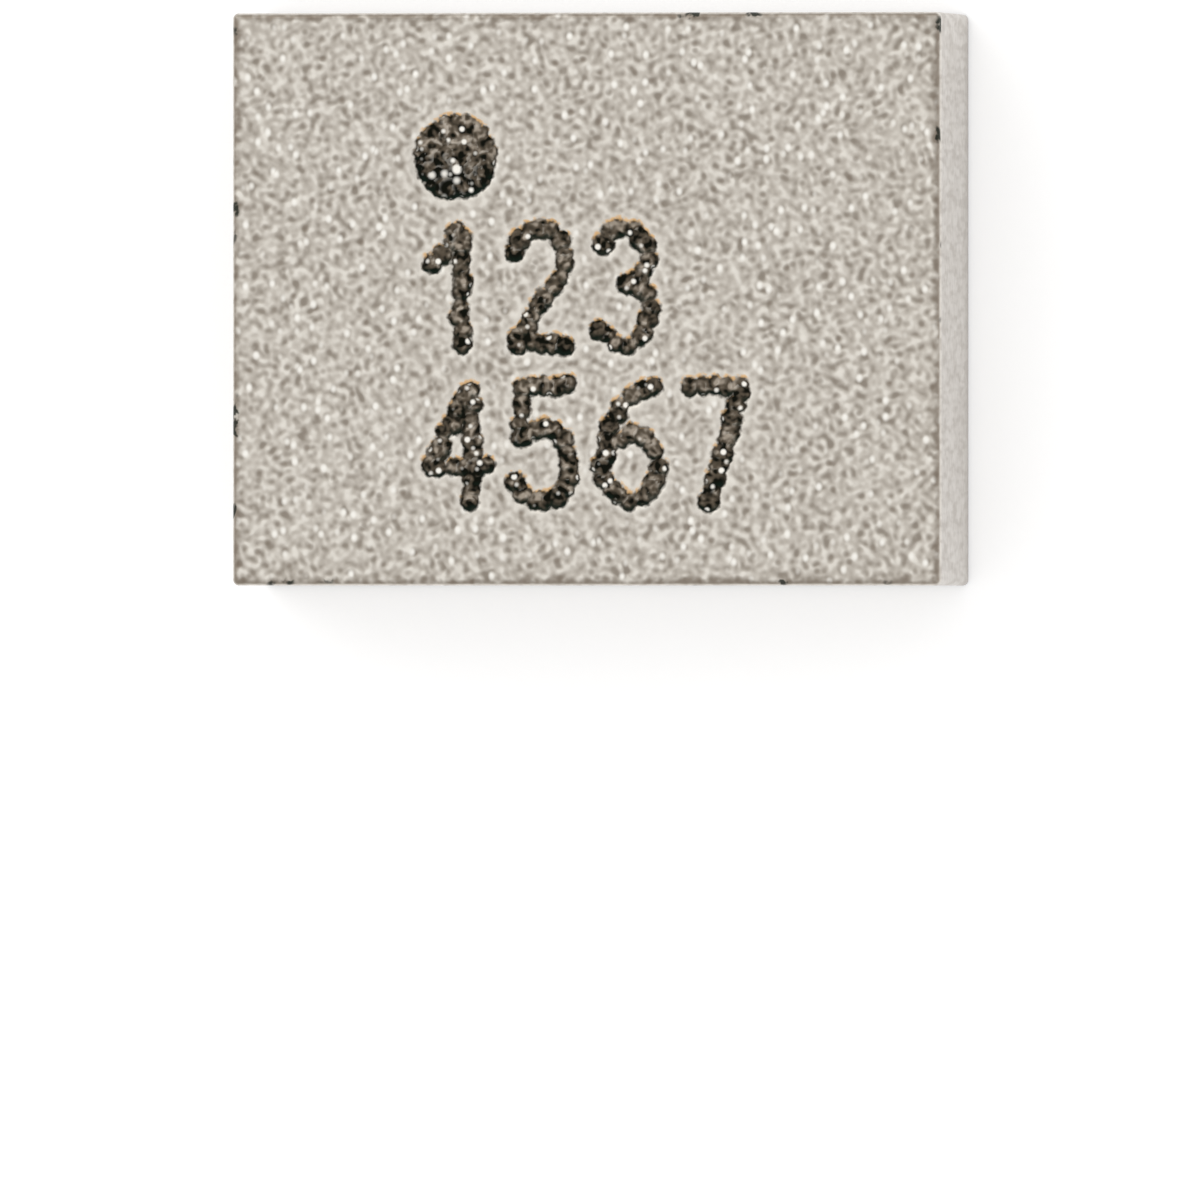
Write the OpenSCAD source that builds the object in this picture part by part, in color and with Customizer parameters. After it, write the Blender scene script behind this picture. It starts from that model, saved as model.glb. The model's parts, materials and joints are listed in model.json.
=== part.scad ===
// Amplifier chip: a shielded land grid array module.
// The origin is at the middle of the seating plane, with +Z through the marked face.
// +Y is the side of contact 1. All sizes are in millimetres.

/* [Package] */
// Length over the shield coat, along X
body_l = 2.5; // [2.45:0.05:2.8]
// Width over the shield coat, along Y
body_w = 2.0; // [1.95:0.05:2.3]
// Height from the seating plane to the marked face
body_h = 0.7; // [0.64:0.02:0.9]
// Thickness of the sputtered shield coat
coat_t = 0.012; // [0.008:0.001:0.018]
// Height at which the coat ends above the seating plane
coat_foot = 0.012; // [0.006:0.002:0.02]
// Rounding that the saw leaves on the block inside the coat
block_edge_r = 0.008; // [0.004:0.001:0.012]

/* [Dot at contact 1] */
// Diameter of the laser dot
dot_d = 0.29; // [0.2:0.01:0.36]
// Depth of the laser dot in the coat
dot_depth = 0.005; // [0.002:0.001:0.007]
// Distance of the dot's centre from the end face
dot_from_end = 0.79; // [0.4:0.01:1]
// Distance of the dot's centre from the side face
dot_from_side = 0.5; // [0.35:0.01:0.8]

/* [Laminate] */
// Thickness of the laminate core
core_t = 0.16; // [0.12:0.01:0.2]
// Thickness of the copper on the underside
bottom_copper_t = 0.018; // [0.012:0.002:0.024]
// Thickness of the copper on the inner side
top_copper_t = 0.018; // [0.012:0.002:0.024]
// Thickness of the solder mask over the copper of the underside
mask_t = 0.02; // [0.016:0.001:0.026]
// How far the mask stands out over copper, against its level over bare laminate
mask_relief = 0.014; // [0.008:0.001:0.018]
// Width of the slope from one level of the mask to the other
mask_slope = 0.045; // [0.03:0.005:0.06]
// Bare rim that the saw leaves between the mask and the coat
mask_pullback = 0.012; // [0.006:0.002:0.02]
// Thickness of the inner mask over copper
inner_mask_t = 0.01; // [0.006:0.001:0.014]
// Diameter of the filled vias
via_d = 0.1; // [0.08:0.01:0.14]

/* [Contacts] */
// Length of an exposed contact, along X
land_l = 0.41; // [0.36:0.01:0.44]
// Width of an exposed contact, along Y
land_w = 0.36; // [0.32:0.01:0.4]
// Pitch of the contacts in a column
land_pitch = 0.68; // [0.64:0.01:0.72]
// Distance from a contact to the end face
land_edge_gap = 0.115; // [0.1:0.005:0.13]
// Corner radius of the etched copper of a contact
land_corner_r = 0.05; // [0.03:0.005:0.07]
// Lap of the mask over a contact's inner end
land_lap_x = 0.05; // [0.04:0.005:0.06]
// Lap of the mask over the outer side of a corner contact
land_lap_y = 0.03; // [0.02:0.005:0.04]
// Bare laminate between a contact's outer end and its mask
land_gap_x = 0.017; // [0.01:0.001:0.025]
// Bare laminate between a contact's free side and its mask
land_gap_y = 0.065; // [0.04:0.005:0.08]
// Thickness of the nickel and gold finish
plating_t = 0.006; // [0.004:0.001:0.01]

/* [Ground paddle] */
// Gap between the paddle and a contact's inner end
paddle_gap = 0.24; // [0.22:0.005:0.28]
// Distance from the paddle to the side face
paddle_side_gap = 0.17; // [0.15:0.005:0.22]
// Chamfer of the paddle's corner that points at contact 1
paddle_chamfer = 0.25; // [0.15:0.01:0.35]
// Lap of the mask over the ground plane at the paddle's ends
plane_lap_x = 0.085; // [0.06:0.005:0.1]
// Lap of the mask over the ground plane at the paddle's sides
plane_lap_y = 0.05; // [0.03:0.005:0.07]
// Width of the strap from the ground plane to the shield coat
strap_w = 0.11; // [0.08:0.01:0.2]
// Width of the copper from the ground plane to contact 2
bridge_2_w = 0.27; // [0.2:0.01:0.3]
// Width of the copper from the ground plane to contact 4
bridge_4_w = 0.33; // [0.2:0.01:0.34]
// Width of the copper from the ground plane to contact 5
bridge_5_w = 0.23; // [0.2:0.01:0.3]

/* [Die] */
// Length of the amplifier die, along X
die_l = 0.85; // [0.75:0.01:0.9]
// Width of the amplifier die, along Y
die_w = 0.75; // [0.65:0.01:0.8]
// Thickness of the amplifier die
die_t = 0.1; // [0.07:0.01:0.13]
// Thickness of the die attach
attach_t = 0.02; // [0.012:0.002:0.03]
// Width of the die attach that shows round the die
attach_margin = 0.02; // [0.01:0.005:0.03]
// Copper of the flag past the die's ends
flag_margin_x = 0.075; // [0.06:0.005:0.1]
// Copper of the flag past the die's sides
flag_margin_y = 0.125; // [0.11:0.005:0.14]
// Side of a bond pad on the die
bond_pad = 0.07; // [0.06:0.005:0.08]
// Height of a bond pad over the die
bond_pad_t = 0.004; // [0.002:0.001:0.006]
// Distance from a bond pad's centre to the die's edge
bond_pad_inset = 0.06; // [0.05:0.005:0.08]

/* [Bond wires] */
// Diameter of the bond wire
wire_d = 0.025; // [0.018:0.001:0.03]
// Height of a wire's loop over its bond pad
loop_h = 0.11; // [0.08:0.01:0.14]
// Diameter of the ball that starts a wire
ball_d = 0.052; // [0.044:0.002:0.056]
// Height of the ball
ball_h = 0.014; // [0.01:0.001:0.018]
// Length of the stitch that ends a wire
stitch_l = 0.035; // [0.025:0.005:0.04]
// Width of a bond finger
finger_w = 0.13; // [0.12:0.01:0.14]
// Gap between the flag and a bond finger
finger_gap = 0.06; // [0.05:0.005:0.07]

/* [Matching parts] */
// Length of an inductor or a capacitor
chip_l = 0.6; // [0.54:0.01:0.62]
// Width of an inductor or a capacitor
chip_w = 0.3; // [0.26:0.01:0.32]
// Height of an inductor or a capacitor
chip_h = 0.3; // [0.24:0.01:0.32]
// Length of a terminal cap
cap_l = 0.15; // [0.12:0.01:0.17]
// Wall of a terminal cap
cap_wall = 0.01; // [0.006:0.001:0.014]
// Solder between a terminal and its copper
solder_t = 0.015; // [0.012:0.001:0.02]
// Reach of the solder past a terminal
solder_toe = 0.06; // [0.04:0.005:0.07]
// Height that the solder climbs up a terminal
solder_climb = 0.12; // [0.08:0.01:0.16]
// Distance along Y from a contact to the middle of its inductor or capacitor
chip_drop = 0.35; // [0.34:0.005:0.37]
// Distance from the flag's end to the copper under the bypass capacitor's ground terminal
tab_inset = 0.075; // [0.05:0.005:0.1]

/* [Hidden] */

// Levels of the layers above the seating plane
z_finish = mask_t - plating_t;
z_copper = mask_t;
z_core = z_copper + bottom_copper_t;
z_core_top = z_core + core_t;
z_copper_top = z_core_top + top_copper_t;
z_attach_top = z_copper_top + attach_t;
z_die_top = z_attach_top + die_t;
z_pad_top = z_die_top + bond_pad_t;
z_block_top = body_h - coat_t;

// The sawn block of laminate and mould inside the coat
block_l = body_l - 2 * coat_t;
block_w = body_w - 2 * coat_t;

// Middle of the +X column of contacts
column_x = body_l / 2 - land_edge_gap - land_l / 2;

// Exposed paddle, and the ground plane under the mask
paddle_l = 2 * (column_x - land_l / 2 - paddle_gap);
paddle_w = body_w - 2 * paddle_side_gap;
plane_l = paddle_l + 2 * plane_lap_x;
plane_w = paddle_w + 2 * plane_lap_y;

// Contacts 1 to 3 run down the -X column from +Y, and 4 to 6 up the +X column
SIGNAL_PINS = [1, 3, 6];
GROUND_PINS = [2, 4, 5];
BRIDGE_W = [0, bridge_2_w, 0, bridge_4_w, bridge_5_w, 0];
function side_of(pin) = pin <= 3 ? -1 : 1;
function row_of(pin) = [1, 0, -1, -1, 0, 1][pin - 1];
function land_x(pin) = side_of(pin) * column_x;
function land_y(pin) = row_of(pin) * land_pitch;

// Vias between the ground plane and the die flag
VIA_COLUMNS = 3;
VIA_ROWS = 4;
flag_l = die_l + 2 * flag_margin_x;
flag_w = die_w + 2 * flag_margin_y;
via_pitch_x = (flag_l - 2 * via_d) / VIA_COLUMNS;
via_pitch_y = (flag_w - 2 * via_d) / VIA_ROWS;

// Copper round the solder of a matching part
land_margin = 0.025;

// Matching parts, with the first terminal of each on its contact's trace
chip_y = land_pitch - chip_drop;
finger_y = chip_y - chip_l / 2 + cap_l / 2;
finger_x = flag_l / 2 + finger_gap;
bypass_x = -flag_l / 2 + tab_inset + land_margin - chip_l / 2 + cap_l;
foot_l = cap_l + solder_toe;

// Bond pads on the die, and where their wires land
pad_x = die_l / 2 - bond_pad_inset;
pad_y = die_w / 2 - bond_pad_inset;
wire_pair = bond_pad + 0.005;
supply_y = -pad_y + bond_pad + wire_pair;
landing_x = finger_x + stitch_l + wire_d;
down_y = flag_w / 2 - wire_d;
ground_x = pad_x - bond_pad - wire_pair;
WIRES = [
    [[-pad_x, finger_y], [-landing_x, finger_y]],
    [[pad_x, finger_y - wire_pair / 2], [landing_x, finger_y - wire_d]],
    [[pad_x, finger_y + wire_pair / 2], [landing_x, finger_y + wire_d]],
    [[-pad_x, supply_y], [-landing_x, supply_y]],
    [[-ground_x, pad_y], [-ground_x, down_y]],
    [[ground_x, pad_y], [ground_x, down_y]],
    [[ground_x, -pad_y], [ground_x, -down_y]],
    [[-ground_x, -pad_y], [-ground_x, -down_y]]];

CUT = 0.1;
ARC_STEPS = 5;
WIRE_SIDES = 8;
LOOP_STEPS = 9;
$fn = 32;

GOLD = [0.9, 0.78, 0.58];
COPPER = [0.74, 0.48, 0.33];
MASK_GREEN = [0.17, 0.27, 0.21];
SOLDER = [0.72, 0.73, 0.75];

// Quarter of a circle, as points from angle a on
function quarter(x, y, r, a) =
    [for (i = [0 : ARC_STEPS]) [x + r * cos(a + 90 * i / ARC_STEPS), y + r * sin(a + 90 * i / ARC_STEPS)]];

// Rectangle from [x0, y0] to [x1, y1] with round corners
module rounded_span(x0, x1, y0, y1, r) {
    polygon(concat(
        quarter(x1 - r, y1 - r, r, 0), quarter(x0 + r, y1 - r, r, 90),
        quarter(x0 + r, y0 + r, r, 180), quarter(x1 - r, y0 + r, r, 270)));
}

// Plain rectangle from [x0, y0] to [x1, y1]
module span(x0, x1, y0, y1) {
    translate([x0, y0]) square([x1 - x0, y1 - y0]);
}

module layer(z0, z1) {
    translate([0, 0, z0]) linear_extrude(z1 - z0) children();
}

// Block with round upright edges and a round-over at its top
module rounded_block(l, w, z0, z1, r) {
    hull() {
        layer(z0, z1 - r) rounded_span(-l / 2, l / 2, -w / 2, w / 2, r);
        for (a = [30, 60]) {
            inset = r * (1 - cos(a));
            layer(z1 - r, z1 - r + r * sin(a))
                rounded_span(inset - l / 2, l / 2 - inset, inset - w / 2, w / 2 - inset, r * cos(a));
        }
        layer(z1 - r, z1) span(r - l / 2, l / 2 - r, r - w / 2, w / 2 - r);
    }
}

module block_outline(pullback = 0) {
    rounded_span(pullback - block_l / 2, block_l / 2 - pullback,
        pullback - block_w / 2, block_w / 2 - pullback, block_edge_r);
}

// Shield: one skin over the top and the four sawn sides
module shield_coat() {
    color([0.75, 0.73, 0.69]) difference() {
        rounded_block(body_l, body_w, coat_foot, body_h, block_edge_r + coat_t);
        rounded_block(block_l, block_w, coat_foot - CUT, z_block_top, block_edge_r);
        translate([dot_from_end - body_l / 2, body_w / 2 - dot_from_side, body_h - dot_depth])
            cylinder(d = dot_d, h = CUT);
    }
}

module laminate_core() {
    color([0.35, 0.28, 0.16]) difference() {
        layer(z_core, z_core_top) block_outline();
        via_barrels(CUT);
    }
}

// Copper of the underside, as boxes [x0, x1, y0, y1]
function land_box(pin) = let (side = side_of(pin), row = row_of(pin))
    [land_x(pin) - land_l / 2 - (side > 0 ? land_lap_x : 0),
     land_x(pin) + land_l / 2 + (side < 0 ? land_lap_x : 0),
     land_y(pin) - land_w / 2 - (row < 0 ? land_lap_y : 0),
     land_y(pin) + land_w / 2 + (row > 0 ? land_lap_y : 0)];

// Each bridge is flush with the -Y side of its contact
function bridge_box(pin) = let (land = land_box(pin))
    [side_of(pin) < 0 ? land_x(pin) : plane_l / 2 - land_corner_r,
     side_of(pin) < 0 ? land_corner_r - plane_l / 2 : land_x(pin),
     land[2], land[2] + BRIDGE_W[pin - 1]];

PLANE_BOX = [-plane_l / 2, plane_l / 2, -plane_w / 2, plane_w / 2];
STRAP_BOX = [-strap_w / 2, strap_w / 2, -block_w / 2, land_corner_r - plane_w / 2];

module box_shape(box, r = 0) {
    if (r > 0) rounded_span(box[0], box[1], box[2], box[3], r);
    else span(box[0], box[1], box[2], box[3]);
}

module ground_copper_shape() {
    box_shape(PLANE_BOX);
    box_shape(STRAP_BOX);
    for (pin = GROUND_PINS) {
        box_shape(land_box(pin), land_corner_r);
        box_shape(bridge_box(pin));
    }
}

module bottom_copper_shape() {
    ground_copper_shape();
    for (pin = SIGNAL_PINS)
        box_shape(land_box(pin), land_corner_r);
}

module bottom_ground_copper() {
    color(COPPER) layer(z_copper, z_core) ground_copper_shape();
}

module pin_copper(pin) {
    color(COPPER) layer(z_copper, z_core) box_shape(land_box(pin), land_corner_r);
}

// Window in the mask at a contact: it bares the laminate at the free edges alone
module land_window(pin) {
    x0 = -land_l / 2 - (side_of(pin) < 0 ? land_gap_x : 0);
    x1 = land_l / 2 + (side_of(pin) > 0 ? land_gap_x : 0);
    y0 = -land_w / 2 - (row_of(pin) >= 0 ? land_gap_y : 0);
    y1 = land_w / 2 + (row_of(pin) <= 0 ? land_gap_y : 0);
    translate([land_x(pin), land_y(pin)]) span(x0, x1, y0, y1);
}

module paddle_shape() {
    x = paddle_l / 2;
    y = paddle_w / 2;
    polygon([[x, y], [paddle_chamfer - x, y], [-x, y - paddle_chamfer], [-x, -y], [x, -y]]);
}

// Swell of the mask over one box of copper, sloped on all four sides
module swell(box) {
    foot = box + mask_slope * [-1, 1, -1, 1];
    function corners(at, z) = [[at[0], at[2], z], [at[1], at[2], z], [at[1], at[3], z], [at[0], at[3], z]];
    polyhedron(
        points = concat(corners(box, 0), corners(foot, mask_relief)),
        faces = [[0, 1, 2, 3], [7, 6, 5, 4], for (i = [0 : 3]) [i, i + 4, (i + 1) % 4 + 4, (i + 1) % 4]]);
}

// Mask of the underside: it rides up over every edge of the copper
module bottom_solder_mask() {
    color(MASK_GREEN) difference() {
        intersection() {
            union() {
                layer(mask_relief, z_core) block_outline(mask_pullback);
                swell(PLANE_BOX);
                swell(STRAP_BOX);
                for (pin = GROUND_PINS)
                    swell(bridge_box(pin));
                for (pin = [1 : 6])
                    swell(land_box(pin));
            }
            layer(-CUT, z_core) block_outline(mask_pullback);
        }
        layer(z_copper, z_core + CUT) bottom_copper_shape();
        for (pin = [1 : 6])
            layer(-CUT, z_core + CUT) land_window(pin);
        layer(-CUT, z_core) paddle_shape();
    }
}

// Finish of a contact: a plate on the copper, with a skirt down its bare edges
module contact_pad(pin) {
    color(GOLD) difference() {
        layer(z_finish, z_core) intersection() {
            land_window(pin);
            box_shape(land_box(pin) + plating_t * [-1, 1, -1, 1], land_corner_r + plating_t);
        }
        layer(z_copper, z_core + CUT) box_shape(land_box(pin), land_corner_r);
    }
}

module ground_paddle() {
    color(GOLD) layer(z_finish, z_copper) paddle_shape();
}

// Vias, filled with copper
module via(x, y, more = 0) {
    translate([x, y, z_core - more]) cylinder(d = via_d, h = core_t + 2 * more);
}

module ground_via_grid(more = 0) {
    for (i = [0 : VIA_COLUMNS - 1], j = [0 : VIA_ROWS - 1])
        via((i - (VIA_COLUMNS - 1) / 2) * via_pitch_x, (j - (VIA_ROWS - 1) / 2) * via_pitch_y, more);
}

module via_barrels(more) {
    ground_via_grid(more);
    for (pin = SIGNAL_PINS)
        via(land_x(pin), land_y(pin), more);
}

module ground_vias() {
    color(COPPER) ground_via_grid();
}

module pin_via(pin) {
    color(COPPER) via(land_x(pin), land_y(pin));
}

// Copper of the inner side
module at_input() {
    translate([-column_x, chip_y]) rotate(-90) children();
}

module at_output() {
    translate([column_x, chip_y]) rotate(-90) children();
}

module at_bypass() {
    translate([bypass_x, -land_pitch]) children();
}

// Footprint of the solder at one end of a matching part, which lies along X
function foot_box(end, more = 0) = let (x0 = chip_l / 2 - cap_l - more, x1 = chip_l / 2 + solder_toe + more)
    [min(end * x0, end * x1), max(end * x0, end * x1), -chip_w / 2 - more, chip_w / 2 + more];

module trace_shape() {
    box_shape(foot_box(-1, land_margin));
    span(-chip_drop - via_d, -chip_l / 2, -via_d, via_d);
}

module finger_shape(side) {
    box_shape(foot_box(1, land_margin));
    length = column_x - finger_x;
    translate([chip_l / 2 - cap_l / 2 - finger_w / 2, side > 0 ? -length : 0])
        square([finger_w, length]);
}

module flag_shape() {
    span(-flag_l / 2, flag_l / 2, -flag_w / 2, flag_w / 2);
    tab = foot_box(1, land_margin);
    span(bypass_x + tab[0], bypass_x + tab[1], tab[2] - land_pitch, 0);
}

module supply_shape() {
    at_bypass() box_shape(foot_box(-1, land_margin));
    span(-column_x - via_d, bypass_x - chip_l / 2, -land_pitch - via_d, -land_pitch + via_d);
    bar_y = -land_pitch + chip_w / 2;
    span(-finger_x - finger_w, -finger_x, bar_y, supply_y + finger_w / 2);
    span(-column_x, -finger_x, bar_y, bar_y + finger_w / 2);
}

module inner_copper_shape() {
    flag_shape();
    at_input() trace_shape();
    at_input() finger_shape(-1);
    at_output() trace_shape();
    at_output() finger_shape(1);
    supply_shape();
}

module inner_copper() {
    color(COPPER) layer(z_core_top, z_copper_top) children();
}

// Windows in the inner mask: at the flag, the solder and the ends of the fingers
module inner_windows() {
    square([flag_l + 2 * land_margin, flag_w + 2 * land_margin], center = true);
    for (end = [-1, 1]) {
        at_input() box_shape(foot_box(end));
        at_output() box_shape(foot_box(end));
        at_bypass() box_shape(foot_box(end));
    }
    window_l = stitch_l + 2 * wire_d;
    for (side = [-1, 1])
        translate([side * (finger_x + window_l / 2), finger_y]) square([window_l, finger_w], center = true);
    translate([-finger_x - window_l / 2, supply_y]) square([window_l, finger_w], center = true);
}

module top_solder_mask() {
    color(MASK_GREEN) difference() {
        layer(z_core_top, z_copper_top + inner_mask_t) block_outline();
        layer(z_core_top - CUT, z_copper_top) inner_copper_shape();
        layer(z_core_top - CUT, z_copper_top + CUT) inner_windows();
    }
}

// Die and its attach
module die_attach() {
    color([0.6, 0.6, 0.58]) layer(z_copper_top, z_attach_top)
        square([die_l + 2 * attach_margin, die_w + 2 * attach_margin], center = true);
}

module amplifier_die() {
    color([0.3, 0.31, 0.36]) layer(z_attach_top, z_die_top) square([die_l, die_w], center = true);
}

module die_bond_pads() {
    color([0.88, 0.86, 0.8]) layer(z_die_top, z_pad_top)
        for (wire = WIRES)
            translate(wire[0]) square(bond_pad, center = true);
}

// Loop of a bond wire in its upright plane: a cubic curve from the ball to the stitch
function loop_point(t, run, rise) = let (u = 1 - t, top = 1.35 * loop_h)
    [3 * u * t * t * run * 0.5 + t * t * t * (run - stitch_l),
     u * u * u * ball_h + 3 * u * u * t * top + 3 * u * t * t * top + t * t * t * rise];

// One ring of a wire: a place [x, z], the way it faces and its half width and half height
function ring(at, way, half_w, half_h) = [for (i = [0 : WIRE_SIDES - 1])
    let (a = 360 * (i + 0.5) / WIRE_SIDES)
    [at[0] - way[1] * half_h * sin(a), half_w * cos(a), at[1] + way[0] * half_h * sin(a)]];

function unit(v) = v / norm(v);

// Bond wire from a pad of the die to the copper beside it
module bond_wire(wire) {
    from = wire[0];
    to = wire[1];
    run = norm(to - from);
    thin = wire_d / 4;
    rise = z_copper_top - z_pad_top + thin * cos(180 / WIRE_SIDES);
    r = wire_d / 2;
    step = 1 / LOOP_STEPS;
    rings = concat(
        [ring([0, 0], [0, 1], 0.8 * ball_d / 2, 0.8 * ball_d / 2),
         ring([0, ball_h / 3], [0, 1], ball_d / 2, ball_d / 2),
         ring([0, ball_h * 2 / 3], [0, 1], 0.9 * ball_d / 2, 0.9 * ball_d / 2),
         ring([0, ball_h], [0, 1], r, r)],
        [for (i = [1 : LOOP_STEPS - 1]) let (t = i * step)
            ring(loop_point(t, run, rise),
                unit(loop_point(t + step, run, rise) - loop_point(t - step, run, rise)), r, r)],
        [ring([run - stitch_l, rise], [1, 0], 1.2 * r, thin),
         ring([run, rise], [1, 0], 1.5 * r, thin)]);
    last = len(rings) - 1;
    n = WIRE_SIDES;
    turn = atan2(to[1] - from[1], to[0] - from[0]);
    color(GOLD) translate([from[0], from[1], z_pad_top]) rotate(turn) polyhedron(
        points = [for (one = rings) each one],
        faces = concat(
            [[for (i = [0 : n - 1]) i], [for (i = [0 : n - 1]) last * n + n - 1 - i]],
            [for (j = [0 : last - 1], i = [0 : n - 1]) let (k = (i + 1) % n)
                each [[j * n + i, (j + 1) * n + i, j * n + k], [j * n + k, (j + 1) * n + i, (j + 1) * n + k]]]));
}

// Inductor or capacitor, along X on its solder
module chip_brick() {
    translate([0, 0, z_copper_top + solder_t + chip_h / 2])
        cube([chip_l - 2 * cap_wall, chip_w - 2 * cap_wall, chip_h - 2 * cap_wall], center = true);
}

module chip_body(tint) {
    color(tint) chip_brick();
}

module chip_terminals() {
    z0 = z_copper_top + solder_t;
    r = cap_wall;
    color(SOLDER) difference() {
        for (end = [-1, 1])
            translate([end * (chip_l - cap_l) / 2, 0, 0]) rotate([90, 0, 90])
                linear_extrude(cap_l, center = true)
                    rounded_span(-chip_w / 2, chip_w / 2, z0, z0 + chip_h, r);
        chip_brick();
    }
}

// Solder under each terminal, with a hollow fillet up its end
module chip_solder() {
    toe = chip_l / 2 + solder_toe;
    fillet = [for (i = [0 : ARC_STEPS]) let (a = 90 * i / ARC_STEPS)
        [toe - solder_toe * sin(a), solder_t + solder_climb * (1 - cos(a))]];
    color(SOLDER) for (end = [-1, 1])
        mirror([end < 0 ? 1 : 0, 0, 0])
            translate([0, chip_w / 2, z_copper_top]) rotate([90, 0, 0]) linear_extrude(chip_w)
                polygon(concat([[toe - foot_l, solder_t], [toe - foot_l, 0], [toe, 0]],
                    fillet, [[chip_l / 2, solder_t]]));
}

module matching_part(tint) {
    chip_body(tint);
    chip_terminals();
    chip_solder();
}

CERAMIC = [0.82, 0.8, 0.74];
DIELECTRIC = [0.66, 0.52, 0.4];

// Everything that the mould compound flows round
module inner_parts() {
    layer(z_core_top, z_copper_top) inner_copper_shape();
    top_solder_mask();
    die_attach();
    amplifier_die();
    die_bond_pads();
    for (wire = WIRES)
        bond_wire(wire);
    at_input() matching_part(CERAMIC);
    at_output() matching_part(DIELECTRIC);
    at_bypass() matching_part(DIELECTRIC);
}

module mould_compound() {
    color([0.16, 0.16, 0.17]) difference() {
        rounded_block(block_l, block_w, z_core_top, z_block_top, block_edge_r);
        inner_parts();
    }
}

shield_coat();
mould_compound();
laminate_core();
bottom_solder_mask();
top_solder_mask();
ground_paddle();
contact_pad(1);  // contact_pad_1
contact_pad(2);  // contact_pad_2
contact_pad(3);  // contact_pad_3
contact_pad(4);  // contact_pad_4
contact_pad(5);  // contact_pad_5
contact_pad(6);  // contact_pad_6
bottom_ground_copper();
pin_copper(1);  // pin_1_copper
pin_copper(3);  // pin_3_copper
pin_copper(6);  // pin_6_copper
inner_copper() flag_shape();  // die_flag_copper
inner_copper() at_input() trace_shape();  // input_trace_copper
inner_copper() at_input() finger_shape(-1);  // input_finger_copper
inner_copper() at_output() trace_shape();  // output_trace_copper
inner_copper() at_output() finger_shape(1);  // output_finger_copper
inner_copper() supply_shape();  // supply_trace_copper
ground_vias();
pin_via(1);  // pin_1_via
pin_via(3);  // pin_3_via
pin_via(6);  // pin_6_via
die_attach();
amplifier_die();
die_bond_pads();
bond_wire(WIRES[0]);  // input_bond_wire
bond_wire(WIRES[1]);  // output_bond_wire_1
bond_wire(WIRES[2]);  // output_bond_wire_2
bond_wire(WIRES[3]);  // supply_bond_wire
bond_wire(WIRES[4]);  // ground_bond_wire_1
bond_wire(WIRES[5]);  // ground_bond_wire_2
bond_wire(WIRES[6]);  // ground_bond_wire_3
bond_wire(WIRES[7]);  // ground_bond_wire_4
at_input() chip_body(CERAMIC);  // input_inductor_body
at_input() chip_terminals();  // input_inductor_terminals
at_input() chip_solder();  // input_inductor_solder
at_output() chip_body(DIELECTRIC);  // output_capacitor_body
at_output() chip_terminals();  // output_capacitor_terminals
at_output() chip_solder();  // output_capacitor_solder
at_bypass() chip_body(DIELECTRIC);  // bypass_capacitor_body
at_bypass() chip_terminals();  // bypass_capacitor_terminals
at_bypass() chip_solder();  // bypass_capacitor_solder
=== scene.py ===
"""Looks of a shielded amplifier chip: its fine surfaces and finishes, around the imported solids."""

import json
import logging
import math
from dataclasses import dataclass, field
from enum import Enum

import bmesh
import bpy
import numpy as np
from bpy.types import ID, Material, Mesh, Node, NodeSocket, Object, World
from mathutils import Color, Matrix, Vector
from mathutils.bvhtree import BVHTree


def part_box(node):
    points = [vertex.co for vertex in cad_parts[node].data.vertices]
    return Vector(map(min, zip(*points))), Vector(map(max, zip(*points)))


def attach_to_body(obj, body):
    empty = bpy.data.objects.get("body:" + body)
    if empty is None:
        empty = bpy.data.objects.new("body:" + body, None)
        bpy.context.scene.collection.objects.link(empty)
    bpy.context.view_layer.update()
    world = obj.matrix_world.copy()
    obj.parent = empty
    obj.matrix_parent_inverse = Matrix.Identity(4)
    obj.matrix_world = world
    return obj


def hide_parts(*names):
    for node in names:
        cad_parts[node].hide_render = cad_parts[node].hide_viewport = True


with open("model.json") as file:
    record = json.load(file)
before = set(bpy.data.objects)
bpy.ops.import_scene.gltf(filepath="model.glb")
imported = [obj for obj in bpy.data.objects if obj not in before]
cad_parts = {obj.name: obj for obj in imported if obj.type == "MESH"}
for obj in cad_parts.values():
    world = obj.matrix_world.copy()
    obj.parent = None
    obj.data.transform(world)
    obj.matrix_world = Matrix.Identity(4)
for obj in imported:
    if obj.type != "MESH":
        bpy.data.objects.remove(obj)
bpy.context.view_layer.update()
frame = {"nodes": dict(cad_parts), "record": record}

LOG = logging.getLogger("amplifier_chip")
MM = 0.001
# Points nearer than this count as one, in millimetres.
TINY = 1e-4
# Half the length and half the width of the sawn laminate.
LAMINATE_HALF = (1.235, 0.985)
# How far one step of a seed shifts each pattern along X, Y and Z.
NOISE_SHIFT = (7.3, 3.1, 5.7)
CELLS_SHIFT = (4.1, 6.7, 2.9)
CORNERS = ((0, 0), (0, 1), (1, 0), (1, 1))


def node_box(node: str) -> tuple[np.ndarray, np.ndarray]:
    """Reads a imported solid's lowest and highest corners, in millimetres."""
    low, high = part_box(node)
    return np.array(low) / MM, np.array(high) / MM


def tint(red: int, green: int, blue: int) -> tuple[float, float, float, float]:
    """Turns a colour as a screen shows it, from 0 to 255, into the linear one that shaders take."""
    linear = Color((red / 255, green / 255, blue / 255)).from_srgb_to_scene_linear()
    return (*linear, 1.0)


def smooth_step(values: np.ndarray, low: float, high: float) -> np.ndarray:
    """Ramps numbers from 0 at low to 1 at high, with soft ends."""
    share = np.clip((values - low) / (high - low), 0, 1)
    return share * share * (3 - 2 * share)


def divide(start: float, end: float, gap: float) -> np.ndarray:
    """Divides a stretch into even steps of at most a gap, and leaves its start out."""
    return np.linspace(start, end, math.ceil(abs(end - start) / gap) + 1)[1:]


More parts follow.
